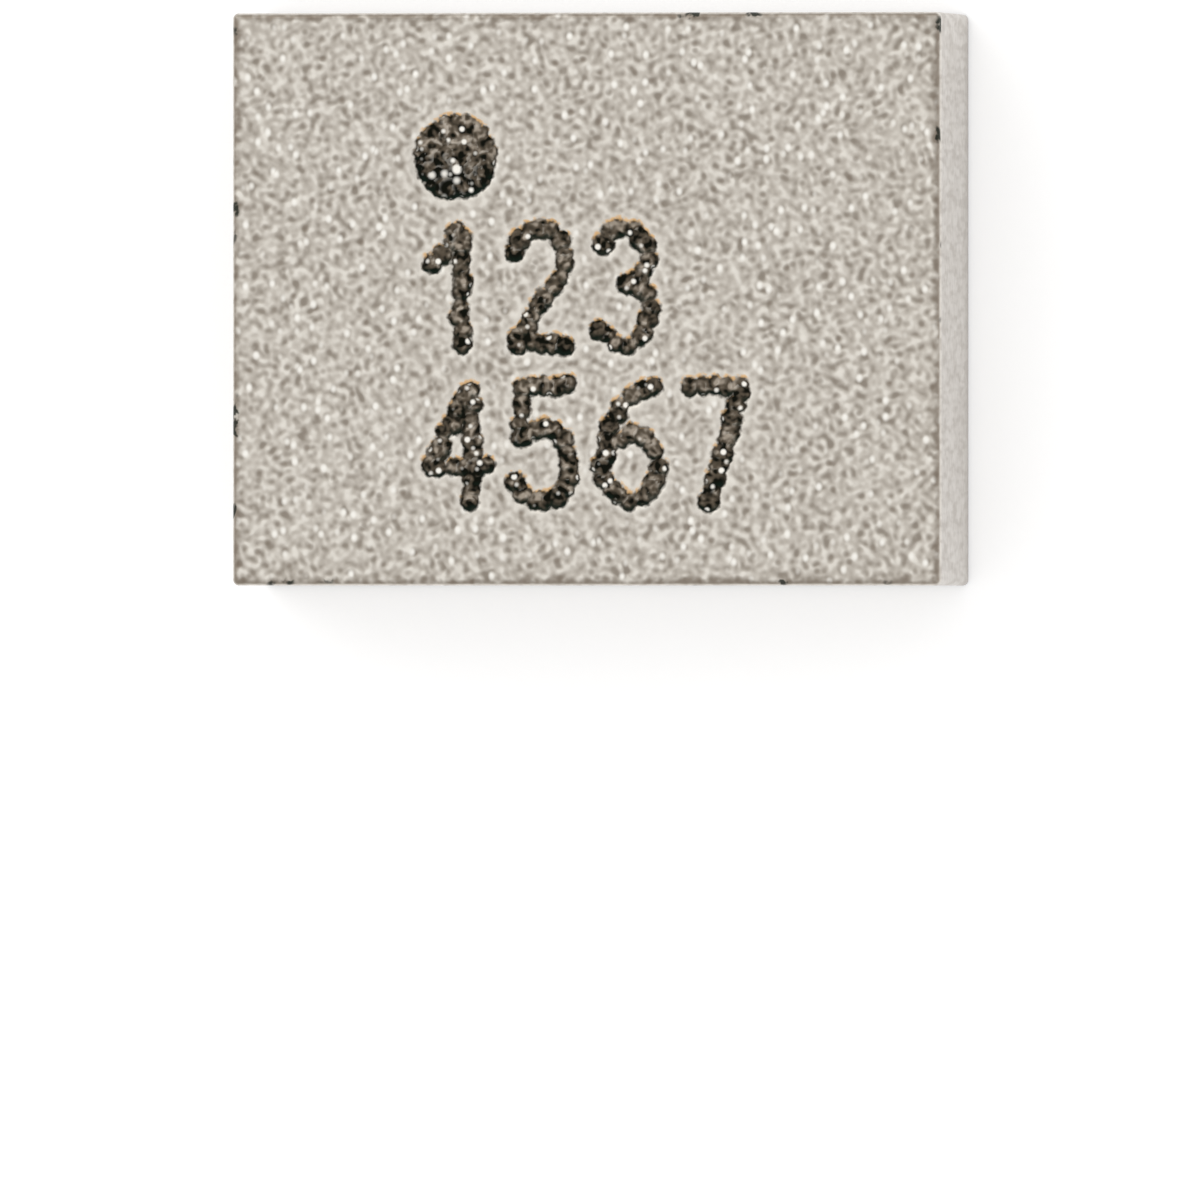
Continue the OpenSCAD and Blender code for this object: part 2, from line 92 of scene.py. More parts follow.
def add_object(name: str, data: ID) -> Object:
    """Makes an object and links it to the scene.

    Args:
        name: name of the object.
        data: its mesh, lamp or camera.

    Returns:
        The new object.
    """
    made = bpy.data.objects.new(name, data)
    bpy.context.scene.collection.objects.link(made)
    return made


def make_piece(name: str, points: np.ndarray, faces: list[list[int]]) -> Object:
    """Makes a mesh piece that rides on the chip's one body.

    Args:
        name: name of the piece.
        points: its vertices, in millimetres.
        faces: the vertex numbers of each face.

    Returns:
        The new object.
    """
    mesh = bpy.data.meshes.new(name)
    mesh.from_pydata((np.asarray(points, float) * MM).tolist(), [], faces)
    mesh.validate()
    mesh.update()
    piece = add_object(name, mesh)
    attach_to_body(piece, "root")
    return piece


def set_attributes(piece: Object, **attributes: np.ndarray) -> None:
    """Stores arrays of numbers, one a vertex, on a piece's mesh for its material to read."""
    for name, values in attributes.items():
        piece.data.attributes.new(name, "FLOAT", "POINT").data.foreach_set("value", np.float32(values))


class Value:
    """A number that varies over a surface. Arithmetic on it adds Math nodes to its board."""

    def __init__(self, board: "Board", socket: NodeSocket) -> None:
        """Wraps one output socket of a board's node."""
        self.board = board
        self.socket = socket

    def __add__(self, other: "Number") -> "Value":
        """Adds another number."""
        return self.board.math("ADD", self, other)

    __radd__ = __add__

    def __sub__(self, other: "Number") -> "Value":
        """Takes another number away."""
        return self.board.math("SUBTRACT", self, other)

    def __rsub__(self, other: "Number") -> "Value":
        """Is taken away from a plain number."""
        return self.board.math("SUBTRACT", other, self)

    def __mul__(self, other: "Number") -> "Value":
        """Multiplies by another number."""
        return self.board.math("MULTIPLY", self, other)

    __rmul__ = __mul__

    def __neg__(self) -> "Value":
        """Turns its sign."""
        return self.board.math("MULTIPLY", self, -1.0)

    def __abs__(self) -> "Value":
        """Drops its sign."""
        return self.board.math("ABSOLUTE", self)

    def least(self, other: "Number") -> "Value":
        """Takes the lower of two numbers."""
        return self.board.math("MINIMUM", self, other)

    def most(self, other: "Number") -> "Value":
        """Takes the higher of two numbers."""
        return self.board.math("MAXIMUM", self, other)

    def sway(self, reach: float) -> "Value":
        """Turns a number from 0 to 1 into one that sways about 0, over a whole reach."""
        return (self - 0.5) * reach

    def ramp(self, low: float, high: float) -> "Value":
        """Ramps softly from 0 at low to 1 at high, downwards where low is above high."""
        inputs = {"Value": self, "From Min": low, "From Max": high}
        return self.board.read("ShaderNodeMapRange", "Result", inputs, interpolation_type="SMOOTHSTEP")


Number = float | Value
Colour = tuple[float, float, float, float] | NodeSocket
Shade = tuple[int, int, int]
Point = tuple[float, float]
Stretch = tuple[float, float, float]


class Board:
    """The node tree of one material or world."""

    def __init__(self, owner: Material | World) -> None:
        """Clears the owner's node tree."""
        owner.use_nodes = True
        self.owner = owner
        self.tree = owner.node_tree
        self.tree.nodes.clear()

    def plug(self, node: Node, inputs: dict) -> None:
        """Fills a node's sockets.

        Args:
            node: the node.
            inputs: a constant, a socket or a Value for each socket, by name or by number.
        """
        for name, value in inputs.items():
            if isinstance(value, Value):
                value = value.socket
            if isinstance(value, NodeSocket):
                self.tree.links.new(value, node.inputs[name])
            else:
                node.inputs[name].default_value = value

    def node(self, kind: str, inputs: dict | None = None, **settings: object) -> Node:
        """Adds one node.

        Args:
            kind: Blender's name of the node's type.
            inputs: what its sockets take, as plug has it.
            settings: its properties, which are set first.

        Returns:
            The new node.
        """
        node = self.tree.nodes.new(kind)
        for name, setting in settings.items():
            setattr(node, name, setting)
        self.plug(node, inputs or {})
        return node

    def read(self, kind: str, output: str | int, inputs: dict | None = None, **settings: object) -> Value:
        """Adds one node and wraps one of its outputs."""
        return Value(self, self.node(kind, inputs, **settings).outputs[output])

    def math(self, operation: str, *numbers: Number) -> Value:
        """Adds a Math node with one operation on the numbers."""
        return self.read("ShaderNodeMath", 0, dict(enumerate(numbers)), operation=operation)

    def layers(self, colour: Colour, *coats: tuple[Number, Colour]) -> Colour:
        """Lays colours over a first one.

        Args:
            colour: the first colour.
            coats: each further colour after its share of the mix, from 0 to 1.

        Returns:
            The mixed colour.
        """
        for share, coat in coats:
            inputs = {"Factor": share, 6: colour, 7: coat}
            colour = self.node("ShaderNodeMix", inputs, data_type="RGBA").outputs[2]
        return colour


class Surface(Board):
    """The node tree of one material, worked in millimetres of the part's frame."""

    def __init__(self, name: str) -> None:
        """Makes a material of that name with a Principled shader alone."""
        super().__init__(bpy.data.materials.new(name))
        self.shader = self.node("ShaderNodeBsdfPrincipled")
        self.node("ShaderNodeOutputMaterial", {"Surface": self.shader.outputs["BSDF"]})
        place = self.node("ShaderNodeTexCoord").outputs["Object"]
        scaled = self.node("ShaderNodeVectorMath", {"Vector": place, "Scale": 1 / MM}, operation="SCALE")
        self.place = scaled.outputs["Vector"]

    def axis(self, name: str) -> Value:
        """Gives the X, Y or Z of each point, in millimetres."""
        return self.read("ShaderNodeSeparateXYZ", name, {"Vector": self.place})

    def facing(self, name: str) -> Value:
        """Gives the X, Y or Z of the surface's own direction at each point."""
        normal = self.node("ShaderNodeNewGeometry").outputs["Normal"]
        return self.read("ShaderNodeSeparateXYZ", name, {"Vector": normal})

    def attribute(self, name: str) -> Value:
        """Reads a number that the piece's mesh holds."""
        return self.read("ShaderNodeAttribute", "Fac", attribute_name=name)

    def inset(self, half: Point) -> Value:
        """Gives how far each point lies inside a block of that half length and half width."""
        return (half[0] - abs(self.axis("X"))).least(half[1] - abs(self.axis("Y")))

    def spread(self, place: NodeSocket, size: float, shift: Stretch, stretch: Stretch) -> NodeSocket:
        """Scales places down by a size that is drawn out along each axis, and shifts them."""
        inputs = {0: place, 1: tuple(1 / (size * part) for part in stretch), 2: shift}
        return self.node("ShaderNodeVectorMath", inputs, operation="MULTIPLY_ADD").outputs["Vector"]

    def noise(
        self, size: float, detail: float = 2.0, seed: float = 0.0, stretch: Stretch = (1, 1, 1),
        warp: float = 0.0, turn: float = 0.0,
    ) -> Value:
        """Adds cloudy noise.

        Args:
            size: width of its patches, in millimetres.
            detail: how many finer layers it has.
            seed: shift that makes it unlike another.
            stretch: how much it is drawn out along each axis.
            warp: how far it swirls.
            turn: how far its lattice is turned about Z, in radians.

        Returns:
            The noise, about 0.5 on the mean.
        """
        place = self.place
        if turn:
            inputs = {"Vector": place, "Angle": turn}
            place = self.node("ShaderNodeVectorRotate", inputs, rotation_type="Z_AXIS").outputs["Vector"]
        place = self.spread(place, size, tuple(seed * part for part in NOISE_SHIFT), stretch)
        inputs = {"Vector": place, "Scale": 1.0, "Detail": detail, "Distortion": warp}
        return self.read("ShaderNodeTexNoise", 0, inputs)

    def cells(self, size: float, seed: float = 0.0, stretch: Stretch = (1, 1, 1)) -> Value:
        """Adds scattered cells, as the distance from the nearest one's middle in shares of their size."""
        place = self.spread(self.place, size, tuple(seed * part for part in CELLS_SHIFT), stretch)
        return self.read("ShaderNodeTexVoronoi", "Distance", {"Vector": place, "Scale": 1.0})

    def bump(self, height: Value, depth: float) -> NodeSocket:
        """Bumps the surface's direction by a height from 0 to 1, where 1 is a depth in millimetres."""
        inputs = {"Strength": 1.0, "Distance": depth * MM, "Height": height}
        return self.node("ShaderNodeBump", inputs).outputs["Normal"]

    def finish(self, **inputs: object) -> Material:
        """Fills the shader's sockets, with _ for each space of a name, and hands the material over."""
        self.plug(self.shader, {name.replace("_", " "): value for name, value in inputs.items()})
        return self.owner


@dataclass(frozen=True)
class ShieldFinish:
    """Sputtered steel: satin, with a fine worm-like grain, painted glints, painted shade along the top's
    edges and burnt laser marks.
    """

    name: str = "sputtered_steel"
    grain: float = 0.0255
    low: Colour = tint(149, 140, 129)
    mid: Colour = tint(196, 189, 179)
    # Lightest tone of the grain; also the painted highlight along the top of the sides.
    high: Colour = tint(233, 228, 219)
    glint: Colour = tint(250, 247, 240)
    # Tone of the dark pits, and of the painted shade along the top's edges.
    edge: Colour = tint(126, 114, 101)
    chip: Colour = tint(30, 38, 32)
    side: Colour = tint(207, 202, 196)
    wall: Colour = tint(180, 173, 165)
    lip: Colour = tint(74, 68, 56)
    soot: Colour = tint(22, 23, 17)
    # Dark green of the painted shadow along the marks' lower edges.
    tarnish_and_shade: Colour = tint(24, 37, 30)
    scorch: Colour = tint(98, 88, 75)
    ash: Colour = tint(174, 163, 149)
    # Warm colour of the painted fringe of light along the marks' upper edges.
    fringe_light: Colour = tint(232, 186, 124)

    def metal(self, board: Surface, top: Value) -> tuple[Colour, Value]:
        """Colours the bare metal, with painted shade along the top's edges, and chips there.

        Args:
            board: the material's board.
            top: 1 on the marked face and 0 on the sides.

        Returns:
            The metal's colour, and its relief from 0 to 1.
        """
        worms = abs(board.noise(self.grain * 1.5, 0.0, 1.0, turn=0.5) - 0.5).ramp(0.34, 0.02)
        fine = board.noise(self.grain * 1.1, 0.0, 3.0, turn=1.1)
        humps = board.cells(self.grain * 1.05, 2.0)
        body = (worms * 0.28 + fine * 0.57 - humps * 0.15 + 0.088).ramp(0.03, 0.93)
        pits = board.cells(self.grain * 2.1, 4.0).ramp(0.32, 0.06)
        glints = board.cells(self.grain * 2.1, 5.0, stretch=(1, 1.3, 1)).ramp(0.3, 0.05)
        metal = board.layers(
            self.low,
            (body.ramp(0.02, 0.6), self.mid),
            (body.ramp(0.48, 0.98), self.high),
            (pits * 0.6, self.edge),
            (glints, self.glint),
        )
        blush = board.noise(0.045, 1.0, 6.0, stretch=(1, 1, 2)).ramp(0.34, 0.68)
        streak = board.noise(0.026, 1.0, 7.0, stretch=(1, 1, 5)).ramp(0.4, 0.72)
        # Painted shade: the sides grow darker towards their foot.
        foot = (board.axis("Z") + blush.sway(0.04)).ramp(0.13, 0.04)
        rim = board.attribute("rim")
        # Painted shade along the top's rounded edges.
        edge_shade = (rim + board.noise(0.05, 2.0, 8.0).sway(0.07)).ramp(0.036, 0.004)
        bite = board.noise(0.1, 1.0, 9.0).ramp(0.62, 0.68)
        jagged = board.noise(0.02, 1.0, 10.0).sway(0.045)
        chips = bite * (rim * (3 - top * 2) + jagged).ramp(0.022, 0.01)
        colour = board.layers(
            self.side,
            (blush * 0.42 + streak * 0.6 + fine.ramp(0.4, 0.74) * 0.26 + foot * 0.5, self.wall),
            # Painted highlight along the top of the sides, where the rounded edge would catch the light.
            (rim.ramp(0.05, 0.02) * (1 - streak * 0.6) * 0.35, self.high),
            # Darker on the faces that point down.
            (board.facing("Z").ramp(-0.4, -0.8) * (1 - blush * 0.3), self.lip),
            (top, metal),
            (edge_shade * top * 0.8, self.edge),
            (chips * 0.9, self.chip),
        )
        return colour, body + glints * 0.12 - pits * 0.12

    def material(self) -> Material:
        """Builds the finish's nodes.

        Returns:
            The material.
        """
        board = Surface(self.name)
        top = board.facing("Z").ramp(0.45, 0.9)
        metal, relief = self.metal(board, top)
        burn, spot, heat_and_shading, lift = (board.attribute(name) for name in ("burn", "spot", "warmth", "lift"))
        edge = burn + board.noise(0.026, 1.5, 11.0).sway(0.02) + board.noise(0.012, 0.5, 12.0).sway(0.006)
        burnt = edge.ramp(0.006, -0.006)
        halo = edge.ramp(0.032, 0.006) * (1 - burnt)
        slag = board.noise(0.04, 0.0, 18.0, warp=1.0)
        fleck = board.noise(0.025, 0.0, 19.0, warp=0.5)
        veins = abs(board.noise(0.036, 0.0, 17.0) - 0.5).ramp(0.22, 0.02)
        # Hotter spots burn darker; in the dot this also paints shade on its lower side.
        body = slag * 0.44 + fleck * 0.46 + veins * 0.08 - (heat_and_shading - 0.33) * 0.13
        ridge = spot.ramp(0.6, 0.95) * burn.ramp(-0.01, -0.02) * slag.ramp(0.44, 0.58)
        up, down = lift.ramp(0.2, 0.8), lift.ramp(-0.1, -0.8)
        # Painted glints in the burnt metal, with bigger ones low in the dot.
        mark_glints = (board.cells(0.047, 15.0) - heat_and_shading * 0.03).ramp(0.28, 0.1)
        dot_glints = board.cells(0.066, 24.0).ramp(0.34, 0.16) * heat_and_shading.ramp(1.02, 1.2)
        mark_glints = mark_glints.most(dot_glints) * edge.ramp(-0.004, -0.014)
        mark = board.layers(
            self.soot,
            (body.ramp(0.34, 0.52), self.scorch),
            (body.ramp(0.49, 0.7), self.ash),
            (ridge * 0.25, self.high),
            # Soot along the burnt edges, with painted shade: less of it on the upper edges, and a dark green
            # painted shadow along the lower ones.
            (edge.ramp(-0.018, -0.004) * (0.66 - up * 0.55), self.soot),
            (edge.ramp(-0.026, -0.008) * down * 0.78, self.tarnish_and_shade),
            (mark_glints, self.glint),
        )
        # Painted warm fringe of light along the marks' upper edges.
        fringe = edge.ramp(-0.009, 0.001) * edge.ramp(0.011, 0.003)
        fringe_light = fringe * up * board.noise(0.02, 1.0, 16.0).ramp(0.38, 0.6)
        heaps = slag + fleck * 0.5 + ridge * 0.3 + mark_glints
        return board.finish(
            Base_Color=board.layers(
                metal, (halo * 0.6, self.high), (burnt, mark), (fringe_light * 0.75, self.fringe_light)
            ),
            Metallic=1.0,
            Roughness=0.44 + burnt * 0.2 - (1 - top) * 0.05,
            Normal=board.bump(relief + burnt * heaps, 0.0012),
        )


@dataclass(frozen=True)
class MaskFinish:
    """Dark green solder mask: near black over copper, green over laminate, with painted glinting specks,
    painted highlights on its shoulders and painted shadows along its windows.
    """

    name: str = "green_mask"
    crest: Colour = tint(30, 31, 22)
    valley: Colour = tint(28, 60, 45)
    # Darkest green: the mask's own dark mottle, and painted shade on slopes that lean away from the light
    # and beside the folds.
    deep: Colour = tint(11, 22, 15)
    # Colour of the painted glints on the bumpy mask.
    speck_glint: Colour = tint(92, 118, 104)
    # Pale green of the painted highlights and sheen.
    pale: Colour = tint(146, 158, 144)
    # Pinkish colour of the painted highlights low on the slopes.
    pink_sheen: Colour = tint(150, 145, 136)
    # Pale colour of the dust over the copper and of the painted sheen there.
    dust_and_sheen: Colour = tint(134, 137, 122)
    shade: Colour = tint(15, 12, 7)

    def material(self) -> Material:
        """Builds the finish's nodes.

        Returns:
            The material.
        """
        board = Surface(self.name)
        broad, fine = board.noise(0.07, 2.0, 1.0), board.noise(0.022, 0.5, 2.0)
        height = board.axis("Z") + broad.sway(0.007) + fine.sway(0.003)
        over = height.ramp(0.005, 0.0115)
        cloud = fine * 0.6 + broad * 0.4
        ragged = cloud.ramp(0.38, 0.56)
        glimmer = board.noise(0.017, 1.0, 3.0, warp=0.6)
        # Painted glints on the bumpy mask, most over the laminate.
        speck_glints = glimmer.ramp(0.58, 0.76) * (0.38 + over * 0.42)
        # Pale dust over the copper, with painted sheen: pale streaks where the mask catches the light.
        dust_and_sheen = board.noise(0.04, 3.0, 7.0).ramp(0.42, 0.74) * (1 - over)

        rim = board.attribute("rim")
        lean_x, lean_y = -board.facing("X"), -board.facing("Y")
        clear = board.attribute("inset").ramp(0.012, 0.022)
        # Painted highlights on the slopes that lean towards the light, kept off the rims.
        upper = (lean_y * 0.9 + lean_x * 0.75 + broad.sway(0.12)).ramp(0.06, 0.19) * clear
        # Painted shade on the slopes that lean away from the light.
        lower = (-lean_y * 0.8 - lean_x * 0.6).ramp(0.05, 0.22)
        cleft = abs(height - 0.0055).ramp(0.0022, 0.0006)
        # Colour of the painted highlights: pinkish low down, pale green higher up.
        ridge = board.layers(self.pink_sheen, (height.ramp(0.004, 0.008), self.pale))
        mottle = 0.22 + ragged * 0.4 + glimmer.ramp(0.34, 0.62) * 0.34
        # The painted highlights fade towards +Y.
        sheen_fade = 1 - board.axis("Y").ramp(0.4, 0.75) * 0.4
        # Painted highlights on the sloped corners below the bridges, with darker pools inside and a brighter
        # border.
        web = board.attribute("web") + fine.sway(0.02) + broad.sway(0.03)
        pools = 0.12 + board.cells(0.08, 9.0).ramp(0.2, 0.55) * 0.58 + web.ramp(0.018, 0.006) * 0.45
        facet = web.ramp(0.0, 0.006) * pools

        # Folds in the mask, drawn in colour alone: a painted shadow along one side and a painted highlight
        # along the crest.
        fold = board.noise(0.13, 1.0, 6.0, stretch=(3.2, 1, 1)) - 0.5 + fine.sway(0.05)
        folded = over * board.noise(0.11, 1.0, 8.0).ramp(0.46, 0.54) * abs(board.axis("X")).ramp(1.18, 1.1)
        # Painted sheen: a paler, crinkled band along the +Y edge and a patch near X -0.43, where the surface
        # catches more light.
        streak = board.noise(0.045, 1.0, 4.0, stretch=(2.2, 1, 1))
        down = board.axis("Y") + broad.sway(0.05)
        heap = down.ramp(0.7, 0.79) * abs(board.axis("X") + 0.43).ramp(0.26, 0.14)
        band = down.ramp(0.83, 0.93).most(heap * abs(down - 0.895).ramp(0.01, 0.03) * 0.85)
        wisps = board.noise(0.036, 2.0, 10.0, warp=0.5).ramp(0.42, 0.6)
        edge_sheen = band * (0.16 + streak.ramp(0.34, 0.62) * 0.3 + wisps * 0.36)
        # Painted highlight: a pale line along the window lips that face +Y, over the laminate.
        lip = rim.ramp(0.024, 0.017) * (-lean_y).ramp(0.04, 0.16) * over * ragged
        # Painted shadow beside the windows' +X sides.
        lee_shadow = board.attribute("lee_shadow").ramp(0.05, 0.4)
        body = board.layers(
            self.crest,
            (over, self.valley),
            (cloud.ramp(0.55, 0.36) * 0.85, self.deep),
            (speck_glints.most(fine.ramp(0.58, 0.8) * over * 0.5), self.speck_glint),
            (dust_and_sheen * (0.1 + fine.ramp(0.36, 0.66) * 0.46), self.dust_and_sheen),
            # Painted shade on the slopes that lean away from the light.
            (lower * 0.6, self.deep),
            # Painted highlights on the shoulders and on the corner slopes.
            ((upper * (1 - cleft * 0.7) * sheen_fade).most(facet) * mottle, ridge),
            # Painted shadow beside the folds, then painted highlight on their crests.
            (abs(fold + 0.035).ramp(0.034, 0.012) * folded * 0.7, self.deep),
            (abs(fold).ramp(0.026, 0.008) * folded * ragged * 0.85, self.pale),
            (edge_sheen, self.pale),
            (lip * 0.8, self.pale),
            (lee_shadow * (0.9 - ragged * 0.22), self.shade),
            # Painted shadow: a black outline along the windows' edges.
            ((rim + fine.sway(0.01)).ramp(0.015, 0.009) * 0.95, self.shade),
        )
        return board.finish(
            Base_Color=body,
            Metallic=0.0,
            Roughness=0.34 + fine * 0.22,
            Specular_IOR_Level=0.1,
            Normal=board.bump(broad * 0.6 + fine * 0.4, 0.002),
        )


@dataclass(frozen=True)
class GoldFinish:
    """Gold over nickel on a contact: warm and grainy, with a painted highlight along its rim and painted
    shade where it turns under.
    """

    name: str = "contact_gold"
    grain: float = 0.027
    low: Colour = tint(210, 177, 123)
    mid: Colour = tint(235, 206, 154)
    high: Colour = tint(243, 219, 171)
    # Colour of the painted highlight along the plating's rim.
    rim: Colour = tint(252, 238, 200)
    # Dark brown of the painted shade where the plating turns under.
    tarnish_and_shade: Colour = tint(44, 28, 14)

    def material(self) -> Material:
        """Builds the finish's nodes.

        Returns:
            The material.
        """
        board = Surface(self.name)
        worms = abs(board.noise(self.grain * 1.3, 0.0, 1.0) - 0.5).ramp(0.3, 0.0)
        fine = board.noise(self.grain * 0.9, 0.0, 2.0)
        cloud = board.noise(self.grain * 5, 1.0, 3.0)
        body = worms * 0.22 + fine * 0.56 + cloud * 0.22
        edge = board.attribute("rim") + board.noise(0.02, 1.0, 4.0).sway(0.8)
        gold = board.layers(
            self.low,
            (body.ramp(0.25, 0.57), self.mid),
            (body.ramp(0.53, 0.76), self.high),
            # Painted highlight along the plating's rounded rim.
            (edge.ramp(0.25, 0.85) * 0.9, self.rim),
            # Painted shade where the plating turns away from straight down.
            (board.facing("Z").ramp(-0.93, -0.7) * 0.85, self.tarnish_and_shade),
        )
        relief = board.bump(body, 0.0008)
        return board.finish(Base_Color=gold, Metallic=1.0, Roughness=0.38 + fine * 0.12, Normal=relief)


@dataclass(frozen=True)
class LaminateFinish:
    """Bare glass-epoxy laminate: brown and mottled, with faint threads, darker where it is sawn."""

    name: str = "brown_laminate"
    resin: Colour = tint(100, 77, 43)
    dark: Colour = tint(62, 44, 21)
    thread: Colour = tint(132, 104, 62)
    sawn: Colour = tint(52, 47, 35)

    def material(self) -> Material:
        """Builds the finish's nodes.

        Returns:
            The material.
        """
        board = Surface(self.name)
        warp_threads = board.noise(0.016, 2.0, 1.0, stretch=(5, 1, 1))
        weft_threads = board.noise(0.016, 2.0, 2.0, stretch=(1, 5, 1))
        threads = warp_threads.most(weft_threads)
        stain = board.noise(0.032, 2.0, 3.0)
        rim = (board.inset(LAMINATE_HALF) + stain.sway(0.02)).ramp(0.03, 0.014)
        body = board.layers(
            self.resin,
            (stain.ramp(0.6, 0.36), self.dark),
            (threads.ramp(0.54, 0.76) * 0.45, self.thread),
            (rim * 0.8, self.sawn),
        )
        return board.finish(
            Base_Color=body,
            Roughness=0.5 + stain * 0.2,
            Specular_IOR_Level=0.2,
            Normal=board.bump(threads, 0.002),
        )


@dataclass(frozen=True)
class GrainFinish:
    """A plain finish with two grains of one colour family, for the parts inside."""

    name: str
    base: Shade
    shade: Shade
    light: Shade
    grain: float
    stretch: Stretch = (1, 1, 1)
    metallic: float = 0.0
    roughness: float = 0.5
    vary: float = 0.15
    depth: float = 0.001
    coat: float = 0.0
    sawn: Point | None = None
    tarnish_and_shade: Shade = (48, 36, 24)

    def material(self) -> Material:
        """Builds the finish's nodes.

        Returns:
            The material.
        """
        board = Surface(self.name)
        coarse = board.noise(self.grain * 2.5, 3.0, 1.0, self.stretch)
        fine = board.noise(self.grain, 2.0, 2.0, self.stretch)
        flecks = board.cells(self.grain * 1.8, 3.0, self.stretch).ramp(0.3, 0.12)
        coats = [
            (coarse.ramp(0.6, 0.34), tint(*self.shade)),
            (fine.ramp(0.54, 0.74) * 0.7 + flecks * 0.25, tint(*self.light)),
        ]
        if self.sawn:
            rim = (board.inset(self.sawn) + fine.sway(0.01)).ramp(0.03, 0.015)
            coats.append((rim, tint(*self.tarnish_and_shade)))
        return board.finish(
            Base_Color=board.layers(tint(*self.base), *coats),
            Metallic=self.metallic,
            Roughness=(self.roughness - self.vary / 2) + fine * self.vary,
            Coat_Weight=self.coat,
            Normal=board.bump(fine * 0.7 + coarse * 0.3, self.depth),
        )


class Slot(Enum):
    """The plain finishes of the parts inside, by the record's material slots."""

    mould = GrainFinish(
        "moulding_compound", (40, 40, 42), (22, 22, 24), (96, 94, 90), 0.012, roughness=0.72, depth=0.002
    )
    copper = GrainFinish(
        "etched_copper", (196, 136, 104), (150, 92, 66), (226, 170, 136), 0.008,
        metallic=1.0, roughness=0.38, depth=0.0008, sawn=LAMINATE_HALF,
    )
    via_copper = GrainFinish(
        "plated_copper", (188, 126, 94), (142, 86, 60), (214, 158, 124), 0.006,
        metallic=1.0, roughness=0.34, depth=0.0006,
    )
    attach = GrainFinish(
        "silver_epoxy", (150, 150, 147), (108, 108, 106), (206, 206, 202), 0.006,
        metallic=0.35, roughness=0.55,
    )
    die = GrainFinish(
        "polished_die", (84, 88, 104), (58, 62, 78), (116, 120, 136), 0.03,
        roughness=0.16, vary=0.06, depth=0.0002, coat=0.5,
    )
    bond_pads = GrainFinish(
        "bond_metal", (222, 214, 196), (186, 178, 160), (240, 234, 218), 0.006,
        metallic=1.0, roughness=0.35, depth=0.0004,
    )
    bond_wire = GrainFinish(
        "drawn_gold", (240, 205, 140), (208, 168, 98), (252, 226, 172), 0.005,
        stretch=(3, 3, 1), metallic=1.0, roughness=0.22, depth=0.0002,
    )
    inductor_ceramic = GrainFinish(
        "white_alumina", (214, 209, 196), (182, 176, 162), (236, 232, 222), 0.012, roughness=0.62
    )
    capacitor_ceramic = GrainFinish("tan_ceramic", (168, 140, 112), (134, 108, 84), (196, 170, 142), 0.012)
    terminal_tin = GrainFinish(
        "matt_tin", (200, 201, 204), (160, 161, 165), (226, 227, 230), 0.01,
        metallic=1.0, roughness=0.42, depth=0.0012,
    )
    solder = GrainFinish(
        "bright_solder", (186, 188, 192), (146, 148, 153), (216, 218, 222), 0.014,
        metallic=1.0, roughness=0.24, depth=0.0012,
    )


def arc(middle: Point, reach: Point, start: float, end: float, steps: int = 12) -> list[Point]:
    """Draws part of an ellipse of a half width and half height, between two angles in degrees."""
    angles = [math.radians(start + (end - start) * i / steps) for i in range(steps + 1)]
    return [(middle[0] + reach[0] * math.cos(a), middle[1] + reach[1] * math.sin(a)) for a in angles]


# Plain numerals as strokes in a cell one wide and one high.
STROKES = {
    "1": [[(0.18, 0.7), (0.64, 1.0), (0.64, 0.0)]],
    "2": [arc((0.5, 0.73), (0.45, 0.27), 165, -38) + [(0.04, 0.0), (0.98, 0.0)]],
    "3": [arc((0.45, 0.755), (0.43, 0.245), 150, -80), arc((0.45, 0.265), (0.49, 0.265), 80, -150)],
    "4": [[(0.74, 0.0), (0.74, 1.0), (0.0, 0.3), (1.0, 0.3)]],
    "5": [[(0.92, 1.0), (0.16, 1.0), (0.1, 0.56)], arc((0.46, 0.32), (0.48, 0.32), 132, -150)],
    "6": [arc((0.95, 0.32), (0.93, 0.68), 92, 180), arc((0.5, 0.3), (0.47, 0.3), 180, -180, 20)],
    "7": [[(0.04, 1.0), (0.96, 1.0), (0.36, 0.0)]],
}


